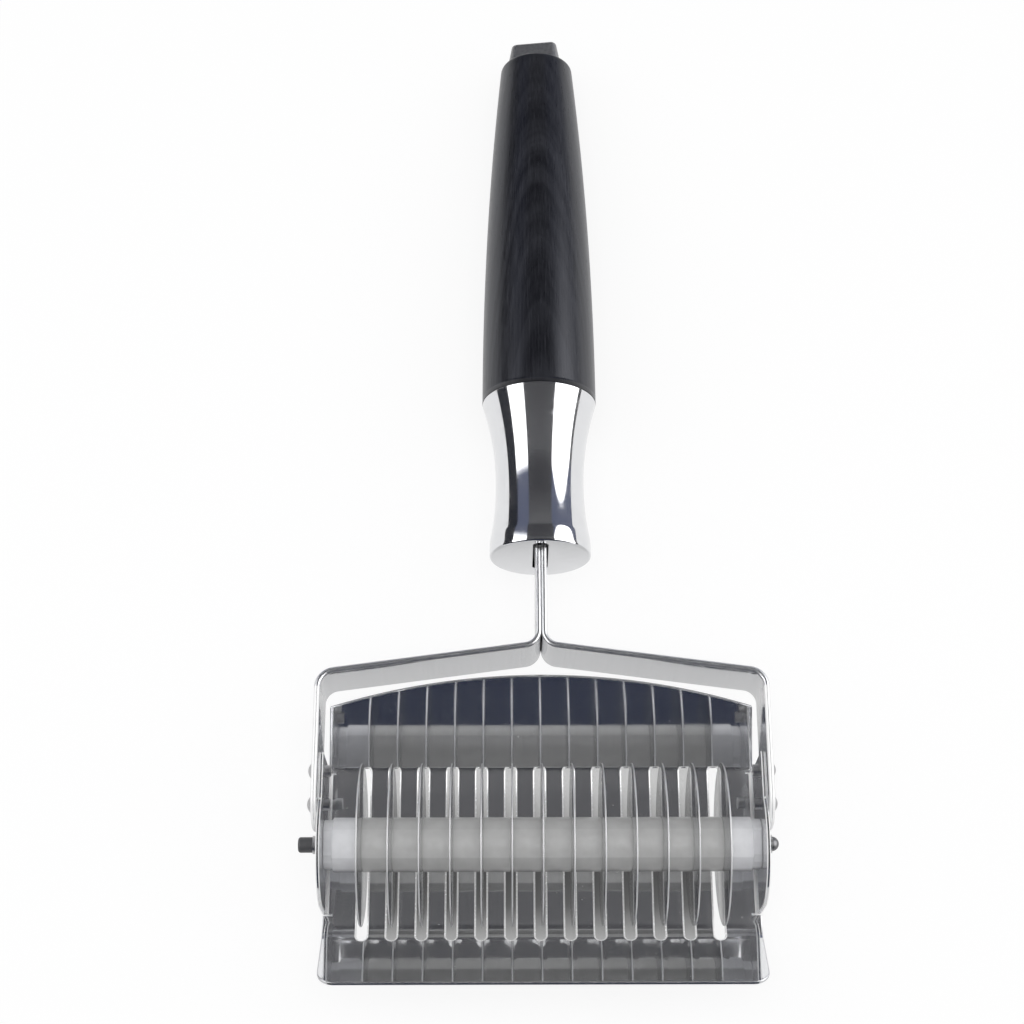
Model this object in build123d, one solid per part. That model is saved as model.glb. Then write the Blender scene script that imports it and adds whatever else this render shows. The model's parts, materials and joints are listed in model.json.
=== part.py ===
from build123d import *
import math
import os

# Hand-held dough cutter: a roller of disc blades in a riveted fork, with a slotted guard and a wooden handle.
# Millimetres. It is drawn with the axle along X through the origin, the handle along +Y and the guard's
# upper face towards +Z, and is tipped at the end to lie on a table as it is put down after use.

# Roller: blades, spacers and the collars at its ends
BLADE_COUNT = 13
BLADE_DIAMETER = 37.5
BLADE_THICKNESS = 0.45
BLADE_BEVEL = 1.5
BLADE_EDGE = 0.2
SPACER_LENGTH = 6.55
SPACER_DIAMETER = 12.6
SPACER_CHAMFER = 0.25
SPIGOT_DIAMETER = 7.0
SPIGOT_REACH = 1.2
END_SPACER_LENGTH = 6.4
COLLAR_DIAMETER = 11.6
COLLAR_LENGTH = 1.95
COLLAR_FLAT_WIDTH = 7.4
FLAT_ANGLE = 16.0

# Axle
AXLE_DIAMETER = 2.8
AXLE_HEAD_DIAMETER = 3.4
AXLE_HEAD_HEIGHT = 1.7
WASHER_DIAMETER = 4.2
WASHER_LENGTH = 1.7
CAP_DIAMETER = 3.6
CAP_LENGTH = 3.4
CAP_ROUND = 0.6
CAP_PEG_DIAMETER = 2.0
CAP_PEG_LENGTH = 2.0

# Guard: one sheet with a slotted middle, two upturned flaps and two ears
SHEET = 0.9
AXLE_HEIGHT = 11.2
REAR_BEND = 20.9
FRONT_BEND = 18.5
REAR_BEND_RADIUS = 2.0
FRONT_BEND_RADIUS = 6.5
REAR_FLAP_ANGLE = 44.5
REAR_FLAP_LENGTH = 25.2
REAR_FLAP_SIDE = 16.8
REAR_FLAP_TAPER = 0.8
REAR_FLAP_INSET = 0.5
FRONT_FLAP_ANGLE = 42.3
FRONT_FLAP_LENGTH = 17.8
FRONT_FLAP_CORNER = 4.0
SLOT_WIDTH = 2.0
SLOT_REAR_OVERRUN = 0.45
SLOT_FRONT_OVERRUN = 1.9
EAR_RADIUS = 14.2
EAR_CENTRE_DROP = 2.0
EAR_TAB_RISE = 9.2
EAR_TAB_REACH = 20.0
EAR_TAB_FOOT = 19.9
EAR_TAB_ROUND = 1.0
EAR_BEND_RADIUS = 0.6

# Fork strips and the rivets that hold them to the ears
STRIP = 1.4
STRIP_WIDTH = 16.4
HANDLE_RISE = 5.8
SHOULDER_HEIGHT = 44.2
SHOULDER_FALL = 7.6
STEM_BEND_RADIUS = 2.8
ARM_BEND_RADIUS = 3.4
ARM_END = 2.0
STEM_INSERT = 22.0
RIVET_DIAMETER = 2.4
RIVET_NEAR = 8.15
RIVET_FAR = 16.1
RIVET_HEAD_DIAMETER = 4.6
RIVET_HEAD_HEIGHT = 1.4
RIVET_TAIL_DIAMETER = 2.7
RIVET_TAIL_HEIGHT = 1.6

# Ferrule, wooden grip, tie rod and end cap, all about the handle's axis
FERRULE_START = 68.9
FERRULE_LENGTH = 40.9
FERRULE_LIP_RADIUS = 12.35
FERRULE_LIP = 3.8
FERRULE_LIP_ROUND = 0.7
FERRULE_WAIST_RADIUS = 10.84
FERRULE_WAIST_AT = 18.2
STEM_MOUTH_WIDTH = 3.7
STEM_MOUTH_LENGTH = 18.0
STEM_MOUTH_DEPTH = 1.5
STEM_MOUTH_LIFT = 1.6
TENON_DIAMETER = 16.0
TENON_LENGTH = 5.0
GRIP_RADIUS = 14.2
GRIP_LENGTH = 99.25
GRIP_TAIL_RADIUS = 9.4
GRIP_EDGE_ROUND = 1.0
ROD_DIAMETER = 6.0
ROD_IN_FERRULE = 9.0
ROD_IN_CAP = 7.0
END_CAP_WIDTH = 13.7
END_CAP_HEIGHT = 5.4
END_CAP_CORNER = 2.4
END_CAP_TAPER = 10.0
END_CAP_ROUND = 1.0
END_CAP_TURN = -8.0
END_CAP_PLUG_DIAMETER = 9.6
END_CAP_PLUG_LENGTH = 9.0
HANGING_HOLE_DIAMETER = 2.8

# Clearances
RUNNING_CLEARANCE = 0.05
SEAT_CLEARANCE = 0.05
PRESS_CLEARANCE = 0.02
END_PLAY = 0.2
DEPTH_CLEARANCE = 0.3

# Places that follow from the sizes
BLADE_PITCH = SPACER_LENGTH + BLADE_THICKNESS
BLADE_PLACES = [BLADE_PITCH * (i - (BLADE_COUNT - 1) / 2) for i in range(BLADE_COUNT)]
STACK_HALF = BLADE_PLACES[-1] + BLADE_THICKNESS / 2
ROLLER_HALF = STACK_HALF + END_SPACER_LENGTH + COLLAR_LENGTH
EAR_INNER = ROLLER_HALF + END_PLAY
EAR_OUTER = EAR_INNER + SHEET
ARM_OUTER = EAR_OUTER + STRIP
HANDLE_AXIS = Axis((0, 0, HANDLE_RISE), (0, 1, 0))
GRIP_START = FERRULE_START + FERRULE_LENGTH
GRIP_END = GRIP_START + GRIP_LENGTH
RIVET_PLACES = [(RIVET_NEAR, HANDLE_RISE), (RIVET_FAR, HANDLE_RISE)]

# A half section is drawn on this plane with the handle's axis as its local Y, to be turned about that axis
HANDLE_PLANE = Plane((0, 0, HANDLE_RISE), x_dir=(1, 0, 0), z_dir=(0, 0, 1))


def along_x(diameter, start, stop, y=0.0, z=0.0):
    """Round bar along X between two places."""
    disc = Plane((start, y, z), x_dir=(0, 1, 0), z_dir=(1, 0, 0)) * Circle(diameter / 2)
    return extrude(disc, stop - start)


def turned(*outline):
    """Solid of revolution about X, from the (place along X, radius) points of its half section."""
    return revolve(make_face(Polyline(*outline, close=True)), Axis.X)


def handle_bar(radius, start, stop):
    """Round bar about the handle's axis between two places."""
    disc = Plane((0, start, HANDLE_RISE), x_dir=(1, 0, 0), z_dir=(0, 1, 0)) * Circle(radius)
    return extrude(disc, stop - start)


def mirrored(part):
    """The same piece on the other side of the tool."""
    return mirror(part, Plane.YZ)


def blade(place):
    """Thin disc with a bevel ground on both sides of its rim."""
    half = BLADE_THICKNESS / 2
    land = BLADE_EDGE / 2
    radius = BLADE_DIAMETER / 2
    bore = SPIGOT_DIAMETER / 2 + SEAT_CLEARANCE
    disc = turned(
        (-half, bore),
        (-half, radius - BLADE_BEVEL),
        (-land, radius),
        (land, radius),
        (half, radius - BLADE_BEVEL),
        (half, bore),
    )
    return Pos(place, 0, 0) * disc


def spigot(start):
    """Boss on a spacer's right end, which passes a blade and enters the next spacer."""
    return along_x(SPIGOT_DIAMETER, start, start + BLADE_THICKNESS + SPIGOT_REACH)


def socket(start):
    """Recess in a spacer's left end for the spigot of the one before it."""
    return along_x(SPIGOT_DIAMETER + 2 * SEAT_CLEARANCE, start, start + SPIGOT_REACH + DEPTH_CLEARANCE)


def axle_bore(clearance):
    """Hole for the axle, longer than the roller."""
    return along_x(AXLE_DIAMETER + 2 * clearance, -ARM_OUTER, ARM_OUTER)


def spacer_body(start, stop):
    """Plain round body of a spacer with broken edges."""
    body = along_x(SPACER_DIAMETER, start, stop)
    return chamfer(body.edges(), SPACER_CHAMFER)


def spacer(index):
    """Plastic spacer between two blades."""
    start = BLADE_PLACES[index] + BLADE_THICKNESS / 2
    stop = start + SPACER_LENGTH
    return spacer_body(start, stop) + spigot(stop) - socket(start) - axle_bore(RUNNING_CLEARANCE)


def end_collar(start):
    """Reduced end of an outer spacer, with two opposite flats."""
    collar = along_x(COLLAR_DIAMETER, start, start + COLLAR_LENGTH)
    across = 2 * math.sqrt((COLLAR_DIAMETER / 2) ** 2 - (COLLAR_FLAT_WIDTH / 2) ** 2)
    keep = Pos(start + COLLAR_LENGTH / 2, 0, 0) * Box(COLLAR_LENGTH, COLLAR_DIAMETER, across)
    return collar & Rot(X=FLAT_ANGLE) * keep


def end_spacer(side):
    """Longer spacer at an end of the roller, on the left with a spigot and on the right with a socket."""
    body = spacer_body(STACK_HALF, STACK_HALF + END_SPACER_LENGTH)
    body += end_collar(STACK_HALF + END_SPACER_LENGTH)
    if side < 0:
        body = mirrored(body) + spigot(-STACK_HALF)
    else:
        body -= socket(STACK_HALF)
    return body - axle_bore(RUNNING_CLEARANCE)


def axle_pin():
    """Pin with a domed head on the right and a turned-down peg on the left."""
    head_start = EAR_OUTER + WASHER_LENGTH
    pin = along_x(AXLE_DIAMETER, -head_start, head_start)
    pin += along_x(CAP_PEG_DIAMETER, -head_start - CAP_PEG_LENGTH, -head_start)
    return pin + dome(AXLE_HEAD_DIAMETER, AXLE_HEAD_HEIGHT, head_start)


def dome(diameter, height, start):
    """Head about X, a part of a ball that stands on a flat at start."""
    radius = diameter / 2
    ball = (radius**2 + height**2) / (2 * height)
    half_angle = math.asin(radius / ball) / 2
    middle = (start + height - ball + ball * math.cos(half_angle), ball * math.sin(half_angle))
    arc = ThreePointArc((start, radius), middle, (start + height, 0))
    return revolve(make_face([arc, Polyline((start + height, 0), (start, 0), (start, radius))]), Axis.X)


def axle_cap():
    """Push-on cap over the pin's peg."""
    inner = -EAR_OUTER - WASHER_LENGTH
    cap = along_x(CAP_DIAMETER, inner - CAP_LENGTH, inner)
    cap = fillet(cap.edges().sort_by(Axis.X)[0], CAP_ROUND)
    hole = along_x(CAP_PEG_DIAMETER + 2 * PRESS_CLEARANCE, inner - CAP_PEG_LENGTH - DEPTH_CLEARANCE, inner)
    return cap - hole


def axle_washer(side):
    """Tall washer between an ear and the pin's end."""
    ring = along_x(WASHER_DIAMETER, EAR_OUTER, EAR_OUTER + WASHER_LENGTH)
    ring -= along_x(AXLE_DIAMETER + 2 * SEAT_CLEARANCE, EAR_OUTER, EAR_OUTER + WASHER_LENGTH)
    return mirrored(ring) if side < 0 else ring


def flap_end(bend, angle, length, sense):
    """Place of a flap's free edge on the upper face, as (Y, Z)."""
    turn = math.radians(angle)
    return sense * (bend + length * math.cos(turn)), -AXLE_HEIGHT + length * math.sin(turn)


def ear_outline():
    """Side view of an ear: a round front about the axle and a tab for the rivets."""
    foot = -AXLE_HEIGHT - SHEET
    centre = -EAR_CENTRE_DROP
    tab_start = math.sqrt(EAR_RADIUS**2 - (EAR_TAB_RISE - centre) ** 2)
    front = Line((-EAR_RADIUS, foot), (-EAR_RADIUS, centre))
    nose = ThreePointArc((-EAR_RADIUS, centre), (0, centre + EAR_RADIUS), (tab_start, EAR_TAB_RISE))
    tab = FilletPolyline(
        (tab_start, EAR_TAB_RISE),
        (EAR_TAB_REACH, EAR_TAB_RISE),
        (EAR_TAB_FOOT, foot),
        radius=EAR_TAB_ROUND,
    )
    base = Line((EAR_TAB_FOOT, foot), (-EAR_RADIUS, foot))
    return Plane.YZ * make_face([front, nose, tab, base])


def ear():
    """Right-hand ear with the bend that joins it to the middle of the sheet."""
    root = EAR_INNER - 2 * EAR_BEND_RADIUS
    top = EAR_RADIUS + EAR_TAB_RISE
    floor = -AXLE_HEIGHT
    path = FilletPolyline((root, floor), (EAR_INNER, floor), (EAR_INNER, top), radius=EAR_BEND_RADIUS)
    section = make_face(offset(path, SHEET, side=Side.RIGHT))
    angle_piece = extrude(Plane.XZ * section, 2 * EAR_TAB_REACH, both=True)
    return angle_piece & Pos(root, 0, 0) * extrude(ear_outline(), EAR_OUTER - root)


def rear_flap_waste():
    """What is cut from the rear flap's blank: its tapered sides and the space above its arched edge."""
    turn = math.radians(REAR_FLAP_ANGLE)
    flap = Plane((0, REAR_BEND, -AXLE_HEIGHT), x_dir=(1, 0, 0), z_dir=(0, -math.sin(turn), math.cos(turn)))
    foot = EAR_OUTER - REAR_FLAP_INSET
    corner = foot - REAR_FLAP_TAPER
    arch = ThreePointArc((corner, REAR_FLAP_SIDE), (0, REAR_FLAP_LENGTH), (-corner, REAR_FLAP_SIDE))
    sides = Polyline((-corner, REAR_FLAP_SIDE), (-foot, 0), (foot, 0), (corner, REAR_FLAP_SIDE))
    blank = Pos(0, REAR_FLAP_LENGTH) * Rectangle(2 * ARM_OUTER, 2 * REAR_FLAP_LENGTH)
    flap_waste = extrude(flap * (blank - make_face([arch, sides])), REAR_BEND_RADIUS + SHEET, both=True)
    notch_length = REAR_BEND - EAR_TAB_FOOT
    notch = Pos(EAR_OUTER, REAR_BEND - notch_length / 2, -AXLE_HEIGHT) * Box(
        2 * REAR_FLAP_INSET, notch_length, 2 * (REAR_BEND_RADIUS + SHEET)
    )
    return [flap_waste, notch, mirrored(notch)]


def blade_slots():
    """Round-ended slots that run from bend to bend, one for each blade."""
    rear = REAR_BEND + SLOT_REAR_OVERRUN
    front = FRONT_BEND + SLOT_FRONT_OVERRUN
    outline = Rot(Z=90) * SlotOverall(rear + front, SLOT_WIDTH)
    place = Pos(0, (rear - front) / 2, -AXLE_HEIGHT)
    cutter = extrude(place * outline, FRONT_BEND_RADIUS + SHEET, both=True)
    return [Pos(x, 0, 0) * cutter for x in BLADE_PLACES]


def guard_plate():
    """Slotted guard, bent from one sheet."""
    path = FilletPolyline(
        flap_end(REAR_BEND, REAR_FLAP_ANGLE, REAR_FLAP_LENGTH, 1),
        (REAR_BEND, -AXLE_HEIGHT),
        (-FRONT_BEND, -AXLE_HEIGHT),
        flap_end(FRONT_BEND, FRONT_FLAP_ANGLE, FRONT_FLAP_LENGTH, -1),
        radius=[REAR_BEND_RADIUS, FRONT_BEND_RADIUS],
    )
    section = make_face(offset(path, SHEET, side=Side.LEFT))
    sheet = extrude(Plane.YZ * section, EAR_OUTER, both=True)
    front_corners = sheet.faces().sort_by(Axis.Y)[0].edges().sort_by(SortBy.LENGTH)[:2]
    sheet = fillet(front_corners, FRONT_FLAP_CORNER)
    right_ear = ear()
    root = EAR_INNER - 2 * EAR_BEND_RADIUS
    ear_length = EAR_RADIUS + EAR_TAB_FOOT
    seat = Pos((root + ARM_OUTER) / 2, EAR_TAB_FOOT - ear_length / 2, -AXLE_HEIGHT) * Box(
        ARM_OUTER - root, ear_length, 4 * SHEET
    )
    sheet = sheet - rear_flap_waste() - [seat, mirrored(seat)]
    sheet = sheet + right_ear + mirrored(right_ear)
    return sheet - blade_slots() - rivet_holes() - axle_bore(SEAT_CLEARANCE)


def rivet_holes():
    """Holes for the rivets through both sides of the tool."""
    diameter = RIVET_DIAMETER + 2 * SEAT_CLEARANCE
    return [along_x(diameter, -2 * ARM_OUTER, 2 * ARM_OUTER, y, z) for y, z in RIVET_PLACES]


def fork_strip(side):
    """Bent strip from the ferrule, along the shoulder and down to the ear."""
    shoulder_drop = EAR_OUTER * math.tan(math.radians(SHOULDER_FALL))
    path = FilletPolyline(
        (0, FERRULE_START + STEM_INSERT),
        (0, SHOULDER_HEIGHT),
        (EAR_OUTER, SHOULDER_HEIGHT - shoulder_drop),
        (EAR_OUTER, ARM_END),
        radius=[STEM_BEND_RADIUS + STRIP, ARM_BEND_RADIUS],
    )
    section = make_face(offset(path, STRIP, side=Side.LEFT))
    strip = extrude(Pos(0, 0, HANDLE_RISE) * section, STRIP_WIDTH / 2, both=True)
    tip = strip.edges().filter_by(Axis.X).group_by(Axis.Y)[0]
    strip = fillet(tip, 0.49 * STRIP_WIDTH) - rivet_holes()
    return mirrored(strip) if side < 0 else strip


def rivet(y, z):
    """Rivet through the arm and the ear: domed head outside, flat tail inside."""
    body = along_x(RIVET_DIAMETER, EAR_INNER, ARM_OUTER)
    body += along_x(RIVET_TAIL_DIAMETER, EAR_INNER - RIVET_TAIL_HEIGHT, EAR_INNER)
    body += dome(RIVET_HEAD_DIAMETER, RIVET_HEAD_HEIGHT, ARM_OUTER)
    return Pos(0, y, z) * body


def rivets(side):
    """The two rivets of one side."""
    pair = [rivet(y, z) for y, z in RIVET_PLACES]
    return Compound([mirrored(each) if side < 0 else each for each in pair])


def ferrule():
    """Hourglass collar, slotted underneath for the stem, with a tenon that enters the grip."""
    end = FERRULE_START + FERRULE_LENGTH
    neck = FERRULE_START + FERRULE_LIP
    waist = ThreePointArc(
        (FERRULE_LIP_RADIUS, neck),
        (FERRULE_WAIST_RADIUS, FERRULE_START + FERRULE_WAIST_AT),
        (GRIP_RADIUS, end),
    )
    lip = FilletPolyline(
        (0, FERRULE_START),
        (FERRULE_LIP_RADIUS, FERRULE_START),
        (FERRULE_LIP_RADIUS, neck),
        radius=FERRULE_LIP_ROUND,
    )
    tenon = Polyline(
        (GRIP_RADIUS, end),
        (TENON_DIAMETER / 2, end),
        (TENON_DIAMETER / 2, end + TENON_LENGTH),
        (0, end + TENON_LENGTH),
        (0, FERRULE_START),
    )
    body = revolve(HANDLE_PLANE * make_face([lip, waist, tenon]), HANDLE_AXIS)
    slot_depth = STEM_INSERT + DEPTH_CLEARANCE
    slot = Pos(0, FERRULE_START + slot_depth / 2, HANDLE_RISE) * Box(
        2 * (STRIP + SEAT_CLEARANCE), slot_depth, STRIP_WIDTH + 2 * SEAT_CLEARANCE
    )
    mouth_middle = (0, FERRULE_START, HANDLE_RISE + STEM_MOUTH_LIFT)
    mouth_plane = Plane(mouth_middle, x_dir=(0, 0, 1), z_dir=(0, 1, 0))
    mouth = extrude(mouth_plane * SlotOverall(STEM_MOUTH_LENGTH, STEM_MOUTH_WIDTH), STEM_MOUTH_DEPTH)
    rod_end = end - ROD_IN_FERRULE - DEPTH_CLEARANCE
    return body - slot - mouth - rod_hole(rod_end, end + TENON_LENGTH, PRESS_CLEARANCE)


def rod_hole(start, stop, clearance):
    """Hole for the tie rod along the handle's axis."""
    return handle_bar(ROD_DIAMETER / 2 + clearance, start, stop)


def tie_rod():
    """Rod that pulls the end cap towards the ferrule."""
    start = GRIP_START - ROD_IN_FERRULE
    stop = GRIP_END - END_CAP_PLUG_LENGTH + ROD_IN_CAP
    return rod_hole(start, stop, 0)


def wooden_handle():
    """Grip turned with one long sweep, straight with the axis where it meets the ferrule."""
    fall = GRIP_RADIUS - GRIP_TAIL_RADIUS
    sweep = (GRIP_LENGTH**2 + fall**2) / (2 * fall)
    middle = GRIP_LENGTH / 2
    middle_fall = sweep - math.sqrt(sweep**2 - middle**2)
    side = ThreePointArc(
        (GRIP_RADIUS, GRIP_START),
        (GRIP_RADIUS - middle_fall, GRIP_START + middle),
        (GRIP_TAIL_RADIUS, GRIP_END),
    )
    ends = Polyline((GRIP_TAIL_RADIUS, GRIP_END), (0, GRIP_END), (0, GRIP_START), (GRIP_RADIUS, GRIP_START))
    grip = revolve(HANDLE_PLANE * make_face([side, ends]), HANDLE_AXIS)
    grip = fillet(grip.edges().sort_by(Axis.Y)[-1], GRIP_EDGE_ROUND)
    tenon_radius = TENON_DIAMETER / 2 + SEAT_CLEARANCE
    tenon_end = GRIP_START + TENON_LENGTH + DEPTH_CLEARANCE
    plug_radius = END_CAP_PLUG_DIAMETER / 2 + SEAT_CLEARANCE
    plug_end = GRIP_END - END_CAP_PLUG_LENGTH - DEPTH_CLEARANCE
    grip -= handle_bar(tenon_radius, GRIP_START, tenon_end)
    grip -= handle_bar(plug_radius, plug_end, GRIP_END)
    return grip - rod_hole(GRIP_START, GRIP_END, SEAT_CLEARANCE)


def end_cap():
    """Squared metal cap with a plug that takes the tie rod and a cross hole to hang the tool by."""
    base = Plane((0, GRIP_END, HANDLE_RISE), x_dir=(1, 0, 0), z_dir=(0, 1, 0))
    outline = Rot(Z=END_CAP_TURN) * RectangleRounded(END_CAP_WIDTH, END_CAP_WIDTH, END_CAP_CORNER)
    cap = extrude(base * outline, END_CAP_HEIGHT, taper=END_CAP_TAPER)
    cap = fillet(cap.faces().sort_by(Axis.Y)[-1].edges(), END_CAP_ROUND)
    plug_radius = END_CAP_PLUG_DIAMETER / 2
    plug_end = GRIP_END - END_CAP_PLUG_LENGTH
    cap += handle_bar(plug_radius, plug_end, GRIP_END)
    cap -= rod_hole(plug_end, plug_end + ROD_IN_CAP + DEPTH_CLEARANCE, PRESS_CLEARANCE)
    hole = extrude(Plane.YZ * Circle(HANGING_HOLE_DIAMETER / 2), END_CAP_WIDTH, both=True)
    return cap - hanging_hole_place() * hole


def hanging_hole_place():
    """Place of the hanging hole's middle, with its local X along the hole."""
    return Pos(0, GRIP_END + END_CAP_HEIGHT / 2, HANDLE_RISE) * Rot(Y=END_CAP_TURN)


def resting_tilt():
    """Angle in degrees by which the handle dips when the blades and the grip's belly both touch a table."""
    fall = GRIP_RADIUS - GRIP_TAIL_RADIUS
    sweep = (GRIP_LENGTH**2 + fall**2) / (2 * fall)
    along, rise = GRIP_START, HANDLE_RISE + sweep - GRIP_RADIUS
    reach = math.hypot(along, rise)
    lean = math.acos((sweep - BLADE_DIAMETER / 2) / reach)
    return math.degrees(math.atan2(rise, along) + lean) - 90


def build_nodes():
    """Every piece of the tool by name, in the drawing's frame."""
    nodes = {
        "guard_plate": guard_plate(),
        "fork_strip_left": fork_strip(-1),
        "fork_strip_right": fork_strip(1),
        "rivets_left": rivets(-1),
        "rivets_right": rivets(1),
        "ferrule": ferrule(),
        "wooden_handle": wooden_handle(),
        "tie_rod": tie_rod(),
        "end_cap": end_cap(),
        "axle_pin": axle_pin(),
        "axle_cap": axle_cap(),
        "axle_washer_left": axle_washer(-1),
        "axle_washer_right": axle_washer(1),
        "end_spacer_left": end_spacer(-1),
        "end_spacer_right": end_spacer(1),
    }
    for index, place in enumerate(BLADE_PLACES):
        nodes[f"blade_{index + 1:02d}"] = blade(place)
    for index in range(BLADE_COUNT - 1):
        nodes[f"spacer_{index + 1:02d}"] = spacer(index)
    return nodes


def main():
    """Lays the tool on the table, centres its footprint on the origin and writes one file for each piece."""
    lying = Rot(X=-resting_tilt())
    nodes = {name: lying * piece for name, piece in build_nodes().items()}
    box = Compound(list(nodes.values())).bounding_box()
    shift = Pos(-box.center().X, -box.center().Y, -box.min.Z)
    os.makedirs("parts", exist_ok=True)
    for name, piece in nodes.items():
        export_step(shift * piece, f"parts/{name}.step")
    axle = (shift * lying).position
    hole = shift * lying * hanging_hole_place()
    print("resting tilt", round(resting_tilt(), 4), "size", box.size)
    print("axle", tuple(axle))
    print("hanging hole", tuple(hole.position), "along", tuple(Plane(hole).x_dir))


main()
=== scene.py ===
import json
import math
from types import SimpleNamespace

import bmesh
import bpy
from mathutils import Matrix, Vector


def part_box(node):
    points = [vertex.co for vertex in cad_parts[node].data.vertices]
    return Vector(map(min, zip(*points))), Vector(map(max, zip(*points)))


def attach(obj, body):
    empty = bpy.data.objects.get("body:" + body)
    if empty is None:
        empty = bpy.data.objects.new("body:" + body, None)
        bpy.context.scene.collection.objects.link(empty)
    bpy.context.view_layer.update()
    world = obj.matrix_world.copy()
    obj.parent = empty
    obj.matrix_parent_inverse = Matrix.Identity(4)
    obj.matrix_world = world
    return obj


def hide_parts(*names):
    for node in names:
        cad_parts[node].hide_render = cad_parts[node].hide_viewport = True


bl_info = {
    "name": "Dough Roller Cutter",
    "version": (1, 0, 0),
    "blender": (4, 5, 0),
    "location": "3D View > Sidebar > Roller Cutter",
    "description": "Models a hand-held roller cutter for pasta dough and sets it on a studio table",
    "category": "Object",
}

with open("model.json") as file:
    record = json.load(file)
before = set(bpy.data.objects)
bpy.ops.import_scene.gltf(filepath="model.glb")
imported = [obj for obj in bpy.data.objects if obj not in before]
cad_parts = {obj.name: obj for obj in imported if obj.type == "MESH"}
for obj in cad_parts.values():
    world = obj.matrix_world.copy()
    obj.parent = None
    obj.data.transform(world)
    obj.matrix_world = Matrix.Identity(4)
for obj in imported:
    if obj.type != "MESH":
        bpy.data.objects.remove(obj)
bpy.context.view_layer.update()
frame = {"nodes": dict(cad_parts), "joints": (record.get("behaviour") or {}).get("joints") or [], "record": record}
NODES = frame["nodes"]
AXLE = Vector(frame["joints"][0]["pos_m"])
HANGING_HOLE = Vector(frame["record"]["mounts"][0]["pos_m"])
BLADES = sorted(name for name in NODES if name.startswith("blade_"))
SPACERS = sorted(name for name in NODES if name.startswith(("spacer_", "end_spacer_")))

# On the upright drawing, in millimetres: how near is the same place, when corners merge, a drill's length and
# how far the hanging hole is from the grip. Directions agree above the cosine ALIGNED, and edges are sharp
# above the angle SHARP. ACROSS lays a bar along the axle. A bar with ROUND_SIDES makes a slot's round ends.
NEAR = 0.01
MERGE = 0.0005
THROUGH = 130.0
HOLE_FROM_GRIP = 2.7
ALIGNED = 0.98
SHARP = math.radians(32.0)
QUARTER = math.pi / 2
ACROSS = (0.0, QUARTER, 0.0)
ROUND_SIDES = 40
WHITE = (1.0, 1.0, 1.0)


def length(name, description, default):
    return bpy.props.FloatProperty(
        name=name, description=description, default=default, min=0.0, precision=5, unit="LENGTH"
    )


def angle(name, description, degrees):
    return bpy.props.FloatProperty(
        name=name, description=description, default=math.radians(degrees), subtype="ANGLE"
    )


def amount(name, description, default, top=1.0):
    return bpy.props.FloatProperty(name=name, description=description, default=default, min=0.0, max=top)


def colour(name, description, default):
    return bpy.props.FloatVectorProperty(
        name=name, description=description, default=default, min=0.0, max=1.0, size=3, subtype="COLOR"
    )


def direction(name, description, default):
    return bpy.props.FloatVectorProperty(
        name=name, description=description, default=default, size=3, subtype="DIRECTION"
    )


class GuardSizes(bpy.types.PropertyGroup):
    sheet: length("Sheet", "Thickness of the guard's sheet", 0.0009)
    axle_height: length("Axle height", "Height of the axle above the guard's upper face", 0.0112)
    rear_bend: length("Rear bend", "From the axle to the rear flap's bend", 0.0209)
    front_bend: length("Front bend", "From the axle to the front flap's bend", 0.0185)
    bend_radius: length("Rear bend radius", "Inner radius of the rear flap's bend", 0.002)
    front_radius: length("Front bend radius", "Inner radius of the front flap's bend", 0.0065)
    rear_angle: angle("Rear flap angle", "Turn of the rear flap", 44.5)
    rear_length: length("Rear flap length", "Rear flap at the top of its arch", 0.0252)
    rear_side: length("Rear flap side", "Rear flap at its sides", 0.0168)
    rear_taper: length("Rear flap taper", "How far each side of the rear flap leans in", 0.0008)
    rear_inset: length("Rear flap inset", "How far the rear flap stands in from the ears", 0.0005)
    front_angle: angle("Front flap angle", "Turn of the front flap", 42.3)
    front_length: length("Front flap length", "Front flap from its bend to its edge", 0.0178)
    front_corner: length("Front corner", "Radius of the front flap's corners", 0.004)
    slot_width: length("Slot width", "Clear width of a blade slot between its rounded edges", 0.0024)
    rear_overrun: length("Rear overrun", "How far the slots run past the rear bend", 0.00045)
    front_overrun: length("Front overrun", "How far the slots run past the front bend", 0.0019)
    slot_shift: length("Slot shift", "How far the slots stand to the left of the blades", 0.00035)
    slot_pitch: length("Slot pitch", "From one blade slot to the next", 0.007)
    ear_inner: length("Ear inner face", "From the middle of the tool to an ear's inner face", 0.050775)
    ear_radius: length("Ear radius", "Radius of an ear's round front", 0.0142)
    ear_drop: length("Ear centre drop", "How far the round front's centre is below the axle", 0.002)
    tab_rise: length("Tab rise", "Height of the rivet tab above the axle", 0.0092)
    tab_reach: length("Tab reach", "From the axle to the rivet tab's top corner", 0.02)
    tab_foot: length("Tab foot", "From the axle to the rivet tab's foot", 0.0199)
    tab_round: length("Tab round", "Radius of the rivet tab's corner", 0.001)
    ear_bend: length("Ear bend", "Inner radius of an ear's bend", 0.0006)
    ear_relief: length("Ear relief", "Gap that frees an ear's bend from the sheet beside it", 0.00015)
    edge_round: length("Edge round", "Rounding of the sheet's cut edges", 0.00025)
    slot_round: length("Slot round", "Rounding of the slots' edges", 0.00043)


class BladeSizes(bpy.types.PropertyGroup):
    diameter: length("Diameter", "Diameter of a blade", 0.0375)
    thickness: length("Thickness", "Thickness of a blade", 0.00045)
    bore: length("Bore", "Diameter of a blade's hole", 0.0071)
    rim_round: length("Rim round", "Rounding of a blade's rim", 0.0002)


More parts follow.
